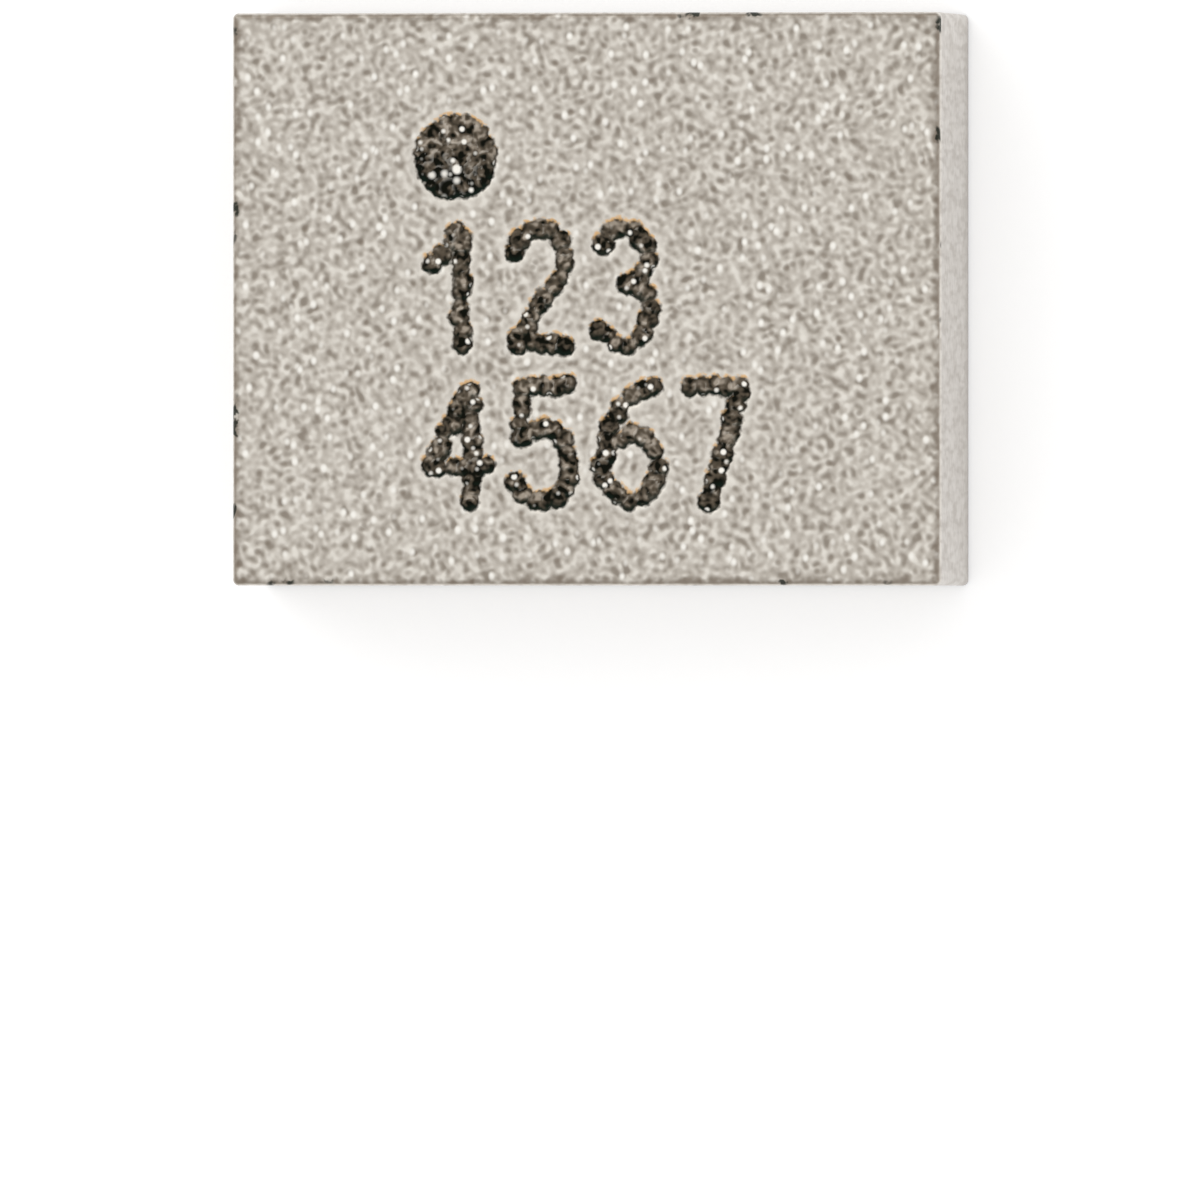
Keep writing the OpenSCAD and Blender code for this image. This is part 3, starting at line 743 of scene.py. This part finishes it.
@dataclass
class LaserMarks:
    """The laser's dot at contact 1 and two lines of plain numerals, all burnt as chains of round spots."""

    centre: Point
    numerals: tuple[str, str] = ("123", "4567")
    dot_d: float = 0.305
    dot_rings: int = 3
    dot_gap: float = 0.8
    dot_low: tuple[float, float] = (-0.2, 0.4)
    spot_r: float = 0.0385
    spot_range: tuple[float, float] = (0.86, 1.06)
    spot_gap: float = 0.043
    heat_reach: float = 1.15
    stray: float = 0.0055
    cell: Point = (0.205, 0.405)
    advance: float = 0.305
    starts: tuple[Point, Point] = ((-0.572, -0.158), (-0.556, -0.706))
    depth: float = 0.005
    bank: tuple[float, float] = (0.006, -0.012)
    seed: int = 7

    def chain(self, stroke: list[Point]) -> np.ndarray:
        """Lays spots along a stroke at an even spacing.

        Args:
            stroke: its points, in millimetres.

        Returns:
            The spots' middles.
        """
        points = np.array(stroke)
        run = np.concatenate([[0], np.cumsum(np.linalg.norm(np.diff(points, axis=0), axis=1))])
        at = np.linspace(0, run[-1], max(2, round(run[-1] / self.spot_gap) + 1))
        return np.stack([np.interp(at, run, points[:, 0]), np.interp(at, run, points[:, 1])], axis=1)

    def spots(self) -> np.ndarray:
        """Lays out all the spots.

        Returns:
            The X, Y, radius and heat_and_shading of each: the laser burns hottest where it starts and stops,
            and the dot's spots are made hotter towards its lower side, to paint shade and glints there.
        """
        chance = np.random.default_rng(self.seed)
        reach = self.dot_d / 2 - self.spot_r
        dot = [np.array([self.centre])]
        for share in np.arange(1, self.dot_rings + 1) / self.dot_rings:
            count = max(6, round(2 * math.pi * reach * share / (self.spot_gap * self.dot_gap)))
            angles = np.linspace(0, 2 * math.pi, count, endpoint=False) + share
            dot.append(np.stack([np.cos(angles), np.sin(angles)], axis=1) * reach * share + self.centre)
        middles = np.concatenate(dot)
        # Painted shade and glints: the dot's spots grow hotter towards its lower side, which darkens that
        # part and gives it bigger glints.
        low = smooth_step((self.centre[1] - middles[:, 1]) / self.dot_d, *self.dot_low)
        rows = [np.column_stack([middles, low * 1.3 + chance.uniform(0, 0.3, len(low))])]
        for line, (left, foot) in zip(self.numerals, self.starts):
            for place, numeral in enumerate(line):
                corner = np.array([left + place * self.advance, foot])
                for stroke in STROKES[numeral]:
                    middles = self.chain(corner + np.array(stroke) * self.cell)
                    heats = chance.uniform(0, 1, len(middles)) ** 2
                    heats[[0, -1]] = 1.0
                    rows.append(np.column_stack([middles, heats]))
        spots = np.concatenate(rows)
        strays = np.where(np.arange(len(spots)) < len(rows[0]), self.stray * 0.5, self.stray)
        spots[:, :2] += chance.normal(0, 1, (len(spots), 2)) * strays[:, None]
        radii = self.spot_r * chance.uniform(*self.spot_range, len(spots)) * (1 + 0.08 * (spots[:, 2] - 0.5))
        return np.column_stack([spots[:, :2], radii, spots[:, 2]])

    def read(self, x: np.ndarray, y: np.ndarray) -> tuple[np.ndarray, np.ndarray, np.ndarray]:
        """Measures how far points lie from the burnt metal.

        Args:
            x: the points' X, in millimetres.
            y: their Y.

        Returns:
            The distance from the burnt outline, below 0 inside; the distance from the middle of the last
            spot that burnt there, as a share of its radius; and that spot's heat_and_shading, which in the
            dot also paints shade and glints.
        """
        burn, spot, heat_and_shading = np.full(x.shape, 1.0), np.full(x.shape, 1.0), np.full(x.shape, 0.5)
        for sx, sy, radius, warmth in self.spots():
            gap = np.hypot(x - sx, y - sy)
            burn = np.minimum(burn, gap - radius)
            spot = np.where(gap < radius, gap / radius, spot)
            heat_and_shading = np.where(gap < radius * self.heat_reach, warmth, heat_and_shading)
        return burn, spot, heat_and_shading


@dataclass
class Shield:
    """The metal coat over the top and the sides, as a thin open box with rounded edges."""

    wall: float = 0.012
    edge_r: float = 0.02
    arc_steps: int = 5
    fine_gap: float = 0.0075
    plain_gap: float = 0.014
    side_gap: float = 0.028
    marked_x: tuple[float, float] = (-0.66, 0.66)
    marked_y: tuple[float, float] = (-0.78, 0.68)
    dot_from_end: float = 0.79
    dot_from_side: float = 0.5
    far: float = 0.1
    finish: ShieldFinish = field(default_factory=ShieldFinish)

    def rounding(self, side: float) -> np.ndarray:
        """Gives the places of the lines over a rounded edge, out to its side."""
        steps = np.arange(self.arc_steps + 1) / self.arc_steps
        return side - self.edge_r + self.edge_r * np.tan(np.radians(45 * steps))

    def lines(self, half: float, fine: tuple[float, float]) -> np.ndarray:
        """Spaces the grid lines across the top.

        Args:
            half: half of the top's length or width.
            fine: where the marks need closer lines.

        Returns:
            The lines' places, in millimetres.
        """
        rounded = self.rounding(half)
        stops = [-rounded[0], fine[0], fine[1], rounded[0]]
        gaps = (self.plain_gap, self.fine_gap, self.plain_gap)
        parts = [divide(low, high, gap) for low, high, gap in zip(stops, stops[1:], gaps)]
        return np.concatenate([-rounded[::-1], *parts, rounded[1:]])

    def build(self) -> Object:
        """Makes the coat and its marks.

        Returns:
            The piece, which stands for the coat's solid.
        """
        low, high = node_box("shield_coat")
        half_x, half_y, top, foot = high[0], high[1], high[2], low[2]
        marks = LaserMarks((-half_x + self.dot_from_end, half_y - self.dot_from_side))
        xs, ys = self.lines(half_x, self.marked_x), self.lines(half_y, self.marked_y)
        nx, ny = len(xs), len(ys)
        grid_x, grid_y = np.meshgrid(xs, ys, indexing="ij")
        number = np.arange(nx * ny).reshape(nx, ny)
        loop = np.concatenate([number[:-1, 0], number[-1, :-1], number[:0:-1, -1], number[0, :0:-1]])
        flat = np.stack([grid_x.ravel(), grid_y.ravel(), np.full(nx * ny, top)], axis=1)
        shoulder = top - self.edge_r
        levels = np.concatenate([self.rounding(top)[-2::-1], divide(shoulder, foot, self.side_gap)])
        rings = [np.column_stack([flat[loop, :2], np.full(len(loop), z)]) for z in levels]
        outer = np.concatenate([flat, *rings])

        core = np.array([half_x - self.edge_r, half_y - self.edge_r])
        anchor = outer.copy()
        anchor[:, :2] = np.clip(outer[:, :2], -core, core)
        anchor[:, 2] = np.minimum(outer[:, 2], shoulder)
        away = outer - anchor
        away /= np.linalg.norm(away, axis=1)[:, None]
        outer = anchor + away * self.edge_r

        burn, spot, heat_and_shading = marks.read(outer[:, 0], outer[:, 1])
        burn[nx * ny:], spot[nx * ny:] = 1.0, 1.0
        outer[:, 2] -= marks.depth * smooth_step(burn, *marks.bank)

        last = len(outer) - len(loop)
        inner_foot = anchor[last:] + away[last:] * (self.edge_r - self.wall)
        inner_top = inner_foot.copy()
        inner_top[:, 2] = top - self.wall
        points = np.concatenate([outer, inner_foot, inner_top])
        faces = [
            [number[i, j], number[i + 1, j], number[i + 1, j + 1], number[i, j + 1]]
            for i in range(nx - 1) for j in range(ny - 1)
        ]
        count = len(loop)
        bands = [loop, *(nx * ny + count * k + np.arange(count) for k in range(len(levels) + 2))]
        for upper, lower in zip(bands, bands[1:]):
            faces += np.stack([upper, lower, np.roll(lower, -1), np.roll(upper, -1)], axis=1).tolist()
        faces.append(bands[-1].tolist())

        piece = make_piece("sputtered_shield", points, faces)
        piece.data.shade_smooth()
        lift = np.zeros(len(points))
        lift[: nx * ny] = np.gradient(burn[: nx * ny].reshape(nx, ny), xs, ys)[1].ravel()
        inset = np.minimum(half_x - np.abs(points[:, 0]), half_y - np.abs(points[:, 1]))
        rim = np.where(points[:, 2] > shoulder, inset, np.minimum(self.far, top - points[:, 2]))
        inside = np.ones(2 * count)
        set_attributes(
            piece,
            burn=np.concatenate([np.clip(burn, -self.far, self.far), inside * self.far]),
            spot=np.concatenate([spot, inside]),
            warmth=np.concatenate([heat_and_shading, inside * 0.5]),
            lift=lift,
            rim=np.clip(rim, 0, self.far),
        )
        piece.data.materials.append(self.finish.material())
        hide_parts("shield_coat")
        return piece


@dataclass
class MaskSkin:
    """The solder mask of the underside, with soft shoulders where it rides over the copper."""

    gap: float = 0.015
    near: float = 0.004
    inset: float = 0.25
    soften: int = 3
    blur: float = 0.6
    roll: float = 0.004
    roll_reach: float = 0.014
    lee_reach: float = 0.05
    least: float = 0.002
    far: float = 0.05
    slant: tuple[float, float] = (0.1, 0.3)
    wall_turn: float = 1.0
    relief: float = 0.014
    web_edge: float = 0.02
    webs: tuple[tuple[Point, ...], ...] = (
        ((0.546, -0.548), (0.69, -0.586), (0.696, -0.45), (0.629, -0.412)),
        ((0.518, 0.138), (0.69, 0.08), (0.702, 0.269), (0.651, 0.309)),
        ((-0.722, 0.11), (-0.54, 0.125), (-0.6, 0.265), (-0.722, 0.3)),
    )
    sharp_turn: float = 50
    finish: MaskFinish = field(default_factory=MaskFinish)

    def lines(self, places: np.ndarray) -> np.ndarray:
        """Spaces grid lines that keep to the solid's own edges.

        Args:
            places: the X or the Y of each of the solid's vertices.

        Returns:
            The lines' places, in millimetres.
        """
        edges = [float(np.min(places))]
        for place in np.unique(np.round(places, 4)):
            if place - edges[-1] > self.near:
                edges.append(float(place))
        return np.concatenate([edges[:1], *(divide(*ends, self.gap) for ends in zip(edges, edges[1:]))])

    def levels(self, tree: BVHTree, xs: np.ndarray, ys: np.ndarray, way: float) -> tuple:
        """Samples the solid's underside or its back on a grid.

        Args:
            tree: the solid's faces, in millimetres.
            xs: the grid's lines along X.
            ys: the grid's lines along Y.
            way: 1 to look up from below, -1 to look down from above.

        Returns:
            The mean height at each grid point, and whether each grid cell is solid.
        """
        ray = Vector((0, 0, way))
        total, hits = np.zeros((len(xs), len(ys))), np.zeros((len(xs), len(ys)))
        solid = np.zeros((len(xs) - 1, len(ys) - 1), bool)
        for i, j in np.ndindex(solid.shape):
            middle_x, middle_y = (xs[i] + xs[i + 1]) / 2, (ys[j] + ys[j + 1]) / 2
            middle = tree.ray_cast(Vector((middle_x, middle_y, -way)), ray)[0]
            if middle is None:
                continue
            solid[i, j] = True
            for a, b in CORNERS:
                x = xs[i + a] + (middle_x - xs[i + a]) * self.inset
                y = ys[j + b] + (middle_y - ys[j + b]) * self.inset
                hit = tree.ray_cast(Vector((x, y, -way)), ray)[0] or middle
                total[i + a, j + b] += hit.z
                hits[i + a, j + b] += 1
        return total / np.maximum(hits, 1), solid

    def snap(self, mesh: Mesh, grid_x: np.ndarray, grid_y: np.ndarray, rim: np.ndarray) -> None:
        """Moves the rim's grid points onto the solid's slanting edges, where they would make steps.

        Args:
            mesh: the solid's mesh.
            grid_x: the grid points' X, which it changes.
            grid_y: their Y, which it changes.
            rim: which of them lie on the rim.
        """
        shortest, steepest = self.slant
        shape = bmesh.new()
        shape.from_mesh(mesh)
        bmesh.ops.remove_doubles(shape, verts=shape.verts, dist=TINY * MM)
        for edge in shape.edges:
            start, end = (np.array(vertex.co) / MM for vertex in edge.verts)
            way = (end - start)[:2]
            length = np.hypot(*way)
            if abs(end[2] - start[2]) > TINY or length < shortest or np.abs(way).min() < steepest * length:
                continue
            if not edge.is_manifold or edge.calc_face_angle() < self.wall_turn:
                continue
            way = way / length
            from_x, from_y = grid_x - start[0], grid_y - start[1]
            along = from_x * way[0] + from_y * way[1]
            aside = from_x * way[1] - from_y * way[0]
            near = rim & (np.abs(aside) < self.gap) & (along > -10 * TINY) & (along < length + 10 * TINY)
            grid_x[near] = start[0] + along[near] * way[0]
            grid_y[near] = start[1] + along[near] * way[1]
        shape.free()

    def fill_corners(self, grid_x: np.ndarray, grid_y: np.ndarray, front: np.ndarray) -> np.ndarray:
        """Slopes the mask down across the corners below the bridges, where it has pooled.

        Args:
            grid_x: the grid points' X.
            grid_y: their Y.
            front: their height, which it changes.

        Returns:
            How far each point lies inside the nearest such slope.
        """
        web = np.full(grid_x.shape, -self.far)
        for corners in self.webs:
            places = np.array(corners)
            depth = np.full(grid_x.shape, self.far)
            for start, way in zip(places, np.roll(places, -1, axis=0) - places):
                aside = (grid_y - start[1]) * way[0] - (grid_x - start[0]) * way[1]
                depth = np.minimum(depth, aside / np.hypot(*way))
            low, high = places[:2, 1].mean(), places[2:, 1].mean()
            slope = self.relief * np.clip((grid_y - low) / (high - low), 0, 1)
            front -= smooth_step(depth, 0.0, self.web_edge) * np.maximum(front - slope, 0)
            web = np.maximum(web, depth)
        return web

    def build(self) -> Object:
        """Makes the mask's skin.

        Returns:
            The piece, which stands for the mask's solid.
        """
        mesh = frame["nodes"]["bottom_solder_mask"].data
        points = np.array([v.co for v in mesh.vertices]) / MM
        tree = BVHTree.FromPolygons(points.tolist(), [list(p.vertices) for p in mesh.polygons])
        xs, ys = self.lines(points[:, 0]), self.lines(points[:, 1])
        front, solid = self.levels(tree, xs, ys, 1.0)
        back, _ = self.levels(tree, xs, ys, -1.0)
        nx, ny = len(xs), len(ys)
        padded = np.pad(solid, 1)
        around = [padded[a:a + nx, b:b + ny] for a, b in CORNERS]
        used = np.any(around, axis=0)
        rim = used & ~np.all(around, axis=0)
        grid_x, grid_y = np.meshgrid(xs, ys, indexing="ij")
        self.snap(mesh, grid_x, grid_y, rim)
        for _ in range(self.soften):
            total, count = np.zeros((nx, ny)), np.zeros((nx, ny))
            wide, seen = np.pad(front, 1), np.pad(used, 1)
            for a, b in ((0, 1), (2, 1), (1, 0), (1, 2)):
                here = seen[a:a + nx, b:b + ny]
                total += np.where(here, wide[a:a + nx, b:b + ny], 0)
                count += here
            blurred = front * (1 - self.blur) + self.blur * total / np.maximum(count, 1)
            front = np.where(used, blurred, front)
        web = self.fill_corners(grid_x, grid_y, front)

        # Distances to the rims, and the painted shadow that falls beside the windows' +X sides.
        inset, window, lee_shadow = np.ones((nx, ny)), np.ones((nx, ny)), np.zeros((nx, ny))
        rim_x, rim_y = grid_x[rim], grid_y[rim]
        inner = np.minimum(xs[-1] - np.abs(rim_x), ys[-1] - np.abs(rim_y)) > self.near
        for i in range(nx):
            gaps = np.hypot(grid_x[i][:, None] - rim_x[None], grid_y[i][:, None] - rim_y[None])
            inset[i], window[i] = gaps.min(axis=1), gaps[:, inner].min(axis=1)
            nearest = rim_x[inner][gaps[:, inner].argmin(axis=1)]
            lee_shadow[i] = np.clip((grid_x[i] - nearest) / np.maximum(window[i], TINY), 0, 1)
        lee_shadow *= np.clip(1 - window / self.lee_reach, 0, 1)
        front = front + self.roll * np.clip(1 - inset / self.roll_reach, 0, 1) ** 2
        front = np.minimum(np.maximum(front, points[:, 2].min()), back - self.least)

        number = np.full((nx, ny), -1)
        number[used] = np.arange(used.sum())
        shift = int(used.sum())
        vertices = np.concatenate([
            np.stack([grid_x[used], grid_y[used], height[used]], axis=1) for height in (front, back)
        ])
        faces = []
        for i, j in zip(*np.nonzero(solid)):
            ring = [int(number[i + a, j + b]) for a, b in ((0, 0), (0, 1), (1, 1), (1, 0))]
            faces.append(ring)
            faces.append([n + shift for n in reversed(ring)])
            for side, (a, b) in enumerate(((0, 1), (1, 2), (2, 1), (1, 0))):
                if not padded[i + a, j + b]:
                    first, second = ring[side], ring[(side + 1) % 4]
                    faces.append([second, first, first + shift, second + shift])
        piece = make_piece("mask_skin", vertices, faces)
        piece.data.set_sharp_from_angle(angle=math.radians(self.sharp_turn))
        window, inset = np.clip(window, 0, self.far), np.clip(inset, 0, self.far)
        places = {"rim": window, "inset": inset, "lee_shadow": lee_shadow, "web": web}
        set_attributes(piece, **{name: np.tile(values[used], 2) for name, values in places.items()})
        piece.data.materials.append(self.finish.material())
        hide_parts("bottom_solder_mask")
        return piece


def inset_outline(outline: np.ndarray, depth: float) -> np.ndarray:
    """Draws a convex outline inwards.

    Args:
        outline: its corners in order.
        depth: how far it moves in.

    Returns:
        For each corner, the nearest point of the outline drawn in.
    """
    ways = np.roll(outline, -1, axis=0) - outline
    inward = np.stack([-ways[:, 1], ways[:, 0]], axis=1) / np.hypot(ways[:, 0], ways[:, 1])[:, None]
    if np.dot(outline.mean(axis=0) - outline[0], inward[0]) < 0:
        inward = -inward
    kept = outline
    for start, normal in zip(outline + inward * depth, inward):
        height = (kept - start) @ normal
        clipped = []
        for i, (point, level) in enumerate(zip(kept, height)):
            after = (i + 1) % len(kept)
            if level >= 0:
                clipped.append(point)
            if level * height[after] < 0:
                clipped.append(point + (kept[after] - point) * level / (level - height[after]))
        kept = np.array(clipped)
    ways = np.roll(kept, -1, axis=0) - kept
    lengths = np.maximum((ways ** 2).sum(axis=1), TINY ** 3)
    places = []
    for point in outline:
        share = np.clip(((point - kept) * ways).sum(axis=1) / lengths, 0, 1)
        near = kept + ways * share[:, None]
        places.append(near[np.hypot(*(near - point).T).argmin()])
    return np.array(places)


@dataclass
class PlatedContact:
    """A gold-plated contact or the paddle, with its edges rounded over and a painted highlight along its
    rim.
    """

    node: str
    finish: Material
    edge_r: float = 0.0045
    corner_r: float = 0.01
    corner_turn: float = 75
    flat_turn: float = 1
    sharp_turn: float = 60
    steps: int = 3
    rim: float = 0.028

    def build(self) -> Object:
        """Makes the plating from its solid, rounded.

        Returns:
            The piece, which stands for the solid.
        """
        shape = bmesh.new()
        shape.from_mesh(frame["nodes"][self.node].data)
        bmesh.ops.scale(shape, vec=(1 / MM,) * 3, verts=shape.verts)
        bmesh.ops.remove_doubles(shape, verts=shape.verts, dist=TINY)
        flat = math.radians(self.flat_turn)
        bmesh.ops.dissolve_limit(shape, angle_limit=flat, verts=shape.verts, edges=shape.edges)
        bmesh.ops.recalc_face_normals(shape, faces=shape.faces)
        foot = min(v.co.z for v in shape.verts)
        upright = [
            edge for edge in shape.edges
            if edge.is_manifold and edge.calc_face_angle() > math.radians(self.corner_turn)
            and (edge.verts[0].co - edge.verts[1].co).xy.length < TINY
        ]
        bmesh.ops.bevel(
            shape, geom=upright, offset=self.corner_r, segments=self.steps, profile=0.5, affect="EDGES"
        )
        # The rim layer marks where the painted highlight falls: 1 on the solid and the rounded rings, 0 on
        # the flat face past the rim.
        layer = shape.verts.layers.float.new("rim")
        for vertex in shape.verts:
            vertex[layer] = 1.0
        level = [f for f in shape.faces if f.normal.z < -0.9 and f.calc_center_median().z < foot + 10 * TINY]
        face = max(level, key=lambda f: f.calc_area())
        loop = list(face.verts)
        outline = np.array([v.co[:2] for v in loop])
        shape.faces.remove(face)
        for vertex in loop:
            vertex.co.z = foot + self.edge_r
        turns = np.radians(np.linspace(0, 90, self.steps + 1)[1:])
        levels = [(self.edge_r * (1 - math.cos(t)), self.edge_r * (1 - math.sin(t)), 1.0) for t in turns]
        for depth, lift, rim in [*levels, (self.edge_r + self.rim, 0.0, 0.0)]:
            inner = [shape.verts.new((x, y, foot + lift)) for x, y in inset_outline(outline, depth)]
            for vertex in inner:
                vertex[layer] = rim
            for corners in zip(loop, loop[1:] + loop[:1], inner[1:] + inner[:1], inner):
                shape.faces.new(corners)
            loop = inner
        shape.faces.new(loop)
        bmesh.ops.remove_doubles(shape, verts=shape.verts, dist=TINY)
        bmesh.ops.recalc_face_normals(shape, faces=shape.faces)
        bmesh.ops.scale(shape, vec=(MM,) * 3, verts=shape.verts)
        mesh = bpy.data.meshes.new(self.node + "_plating")
        shape.to_mesh(mesh)
        shape.free()
        piece = add_object(self.node + "_plating", mesh)
        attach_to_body(piece, "root")
        mesh.shade_smooth()
        mesh.set_sharp_from_angle(angle=math.radians(self.sharp_turn))
        mesh.materials.append(self.finish)
        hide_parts(self.node)
        return piece


@dataclass
class Underside:
    """The face that is soldered down: mask, six contacts and the ground paddle."""

    plated: tuple[str, ...] = ("ground_paddle", *(f"contact_pad_{pin}" for pin in range(1, 7)))
    mask: MaskSkin = field(default_factory=MaskSkin)

    def build(self) -> list[Object]:
        """Makes the mask and the plated faces."""
        gold = GoldFinish().material()
        return [self.mask.build(), *(PlatedContact(name, gold).build() for name in self.plated)]


@dataclass
class InnerParts:
    """The laminate, the mould and what they hold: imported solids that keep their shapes."""

    laminate: LaminateFinish = field(default_factory=LaminateFinish)
    mask: MaskFinish = field(default_factory=lambda: MaskFinish(name="inner_mask"))

    def dress(self) -> list[Object]:
        """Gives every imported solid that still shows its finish.

        Returns:
            The solids.
        """
        made = {slot.name: slot.value.material() for slot in Slot}
        made["laminate"] = self.laminate.material()
        made["solder_mask"] = self.mask.material()
        dressed = []
        for part in frame["record"]["subparts"]:
            solid = frame["nodes"][part["node"]]
            if solid.hide_render:
                continue
            solid.data.materials.clear()
            solid.data.materials.append(made[part["material_slot"]])
            dressed.append(solid)
        return dressed


@dataclass
class Lamp:
    """A soft square lamp that points at the chip."""

    name: str
    towards: tuple[float, float, float]
    power: float
    colour: tuple[float, float, float]
    away: float = 0.5
    side: float = 0.4

    def build(self) -> Object:
        """Hangs the lamp.

        Returns:
            The lamp's object.
        """
        data = bpy.data.lights.new(self.name, "AREA")
        data.shape, data.size, data.energy, data.color = "SQUARE", self.side, self.power, self.colour
        lamp = add_object(self.name, data)
        way = Vector(self.towards).normalized()
        lamp.location = way * self.away
        lamp.rotation_mode = "QUATERNION"
        lamp.rotation_quaternion = way.to_track_quat("Z", "Y")
        return lamp


@dataclass
class Studio:
    """White table, soft light from the upper left, and a long lens a little right of straight above."""

    tilt: float = 8.6
    lens: float = 1200.0
    sensor: float = 36.0
    clip: tuple[float, float] = (0.001, 2.0)
    picture: int = 1200
    pixel: float = 0.00349
    chip_at: Point = (586.0, 299.0)
    floor_side: float = 0.4
    floor_glow: float = 0.36
    floor_tints: tuple[Colour, Colour] = (tint(229, 229, 229), tint(233, 233, 233))
    room_tints: tuple[Colour, Colour] = ((1.0, 1.0, 1.0, 1.0), (0.86, 0.86, 0.86, 1.0))
    room_rise: tuple[float, float] = (0.05, 0.6)
    lamps: tuple[Lamp, ...] = (
        Lamp("key_lamp", (-0.55, 0.6, 0.8), 0.44, (1.0, 0.985, 0.96)),
        Lamp("fill_lamp", (0.75, -0.35, 0.6), 0.16, (0.97, 0.985, 1.0)),
    )

    def camera(self, top: float) -> Object:
        """Sets the camera up so that the chip lies where the photograph has it.

        Args:
            top: height of the chip's marked face, in millimetres.

        Returns:
            The camera's object.
        """
        tilt = math.radians(self.tilt)
        back, up = Vector((math.sin(tilt), 0, math.cos(tilt))), Vector((0, 1, 0))
        across, down = (self.pixel * (self.picture / 2 - place) for place in self.chip_at)
        aim = Vector((across / math.cos(tilt), -down, top))
        distance = self.picture * self.pixel * self.lens / self.sensor
        data = bpy.data.cameras.new("bench_camera")
        data.lens, data.sensor_width = self.lens, self.sensor
        data.clip_start, data.clip_end = self.clip
        camera = add_object("bench_camera", data)
        camera.location = (aim + back * distance) * MM
        camera.rotation_mode = "QUATERNION"
        camera.rotation_quaternion = Matrix((up.cross(back), up, back)).transposed().to_quaternion()
        bpy.context.scene.camera = camera
        return camera

    def floor(self) -> Object:
        """Lays the white table under the chip.

        Returns:
            The table's object.
        """
        half = self.floor_side / 2
        mesh = bpy.data.meshes.new("table")
        corners = [(-half, -half, 0), (half, -half, 0), (half, half, 0), (-half, half, 0)]
        mesh.from_pydata(corners, [], [[0, 1, 2, 3]])
        table = add_object("table", mesh)
        board = Surface("white_table")
        kinds = ("Camera", "Glossy", "Transmission")
        camera, glossy, through = (board.read("ShaderNodeLightPath", f"Is {kind} Ray") for kind in kinds)
        seen = camera.most(glossy).most(through)
        low, high = self.floor_tints
        mesh.materials.append(board.finish(
            Base_Color=board.layers(low, (board.noise(3.0, 2.0, 1.0), high)),
            Roughness=0.9,
            Specular_IOR_Level=0.0,
            Emission_Color=board.layers((0, 0, 0, 1), (seen, (1, 1, 1, 1))),
            Emission_Strength=self.floor_glow,
        ))
        return table

    def world(self) -> World:
        """Surrounds the table with an even pale light, a little stronger low down.

        Returns:
            The world.
        """
        world = bpy.data.worlds.new("pale_room")
        board = Board(world)
        way = board.node("ShaderNodeTexCoord").outputs["Generated"]
        height = board.read("ShaderNodeSeparateXYZ", "Z", {"Vector": way})
        inputs = {"Value": height, "From Min": self.room_rise[0], "From Max": self.room_rise[1]}
        rise = board.read("ShaderNodeMapRange", "Result", inputs)
        low, high = self.room_tints
        light = board.node("ShaderNodeBackground", {"Color": board.layers(low, (rise, high))})
        board.node("ShaderNodeOutputWorld", {"Surface": light.outputs["Background"]})
        bpy.context.scene.world = world
        return world

    def build(self) -> None:
        """Sets up camera, table, room and lamps."""
        bpy.context.scene.view_settings.view_transform = "Standard"
        self.camera(node_box("shield_coat")[1][2])
        self.floor()
        self.world()
        for lamp in self.lamps:
            lamp.build()


def main() -> None:
    """Builds the studio and the chip in order, and notes each piece."""
    logging.basicConfig(level=logging.INFO, format="%(name)s: %(message)s")
    Studio().build()
    pieces = [Shield().build(), *Underside().build(), *InnerParts().dress()]
    for piece in pieces:
        LOG.info("%s: %d faces, %s", piece.name, len(piece.data.polygons), piece.data.materials[0].name)


if __name__ == "__main__":
    main()
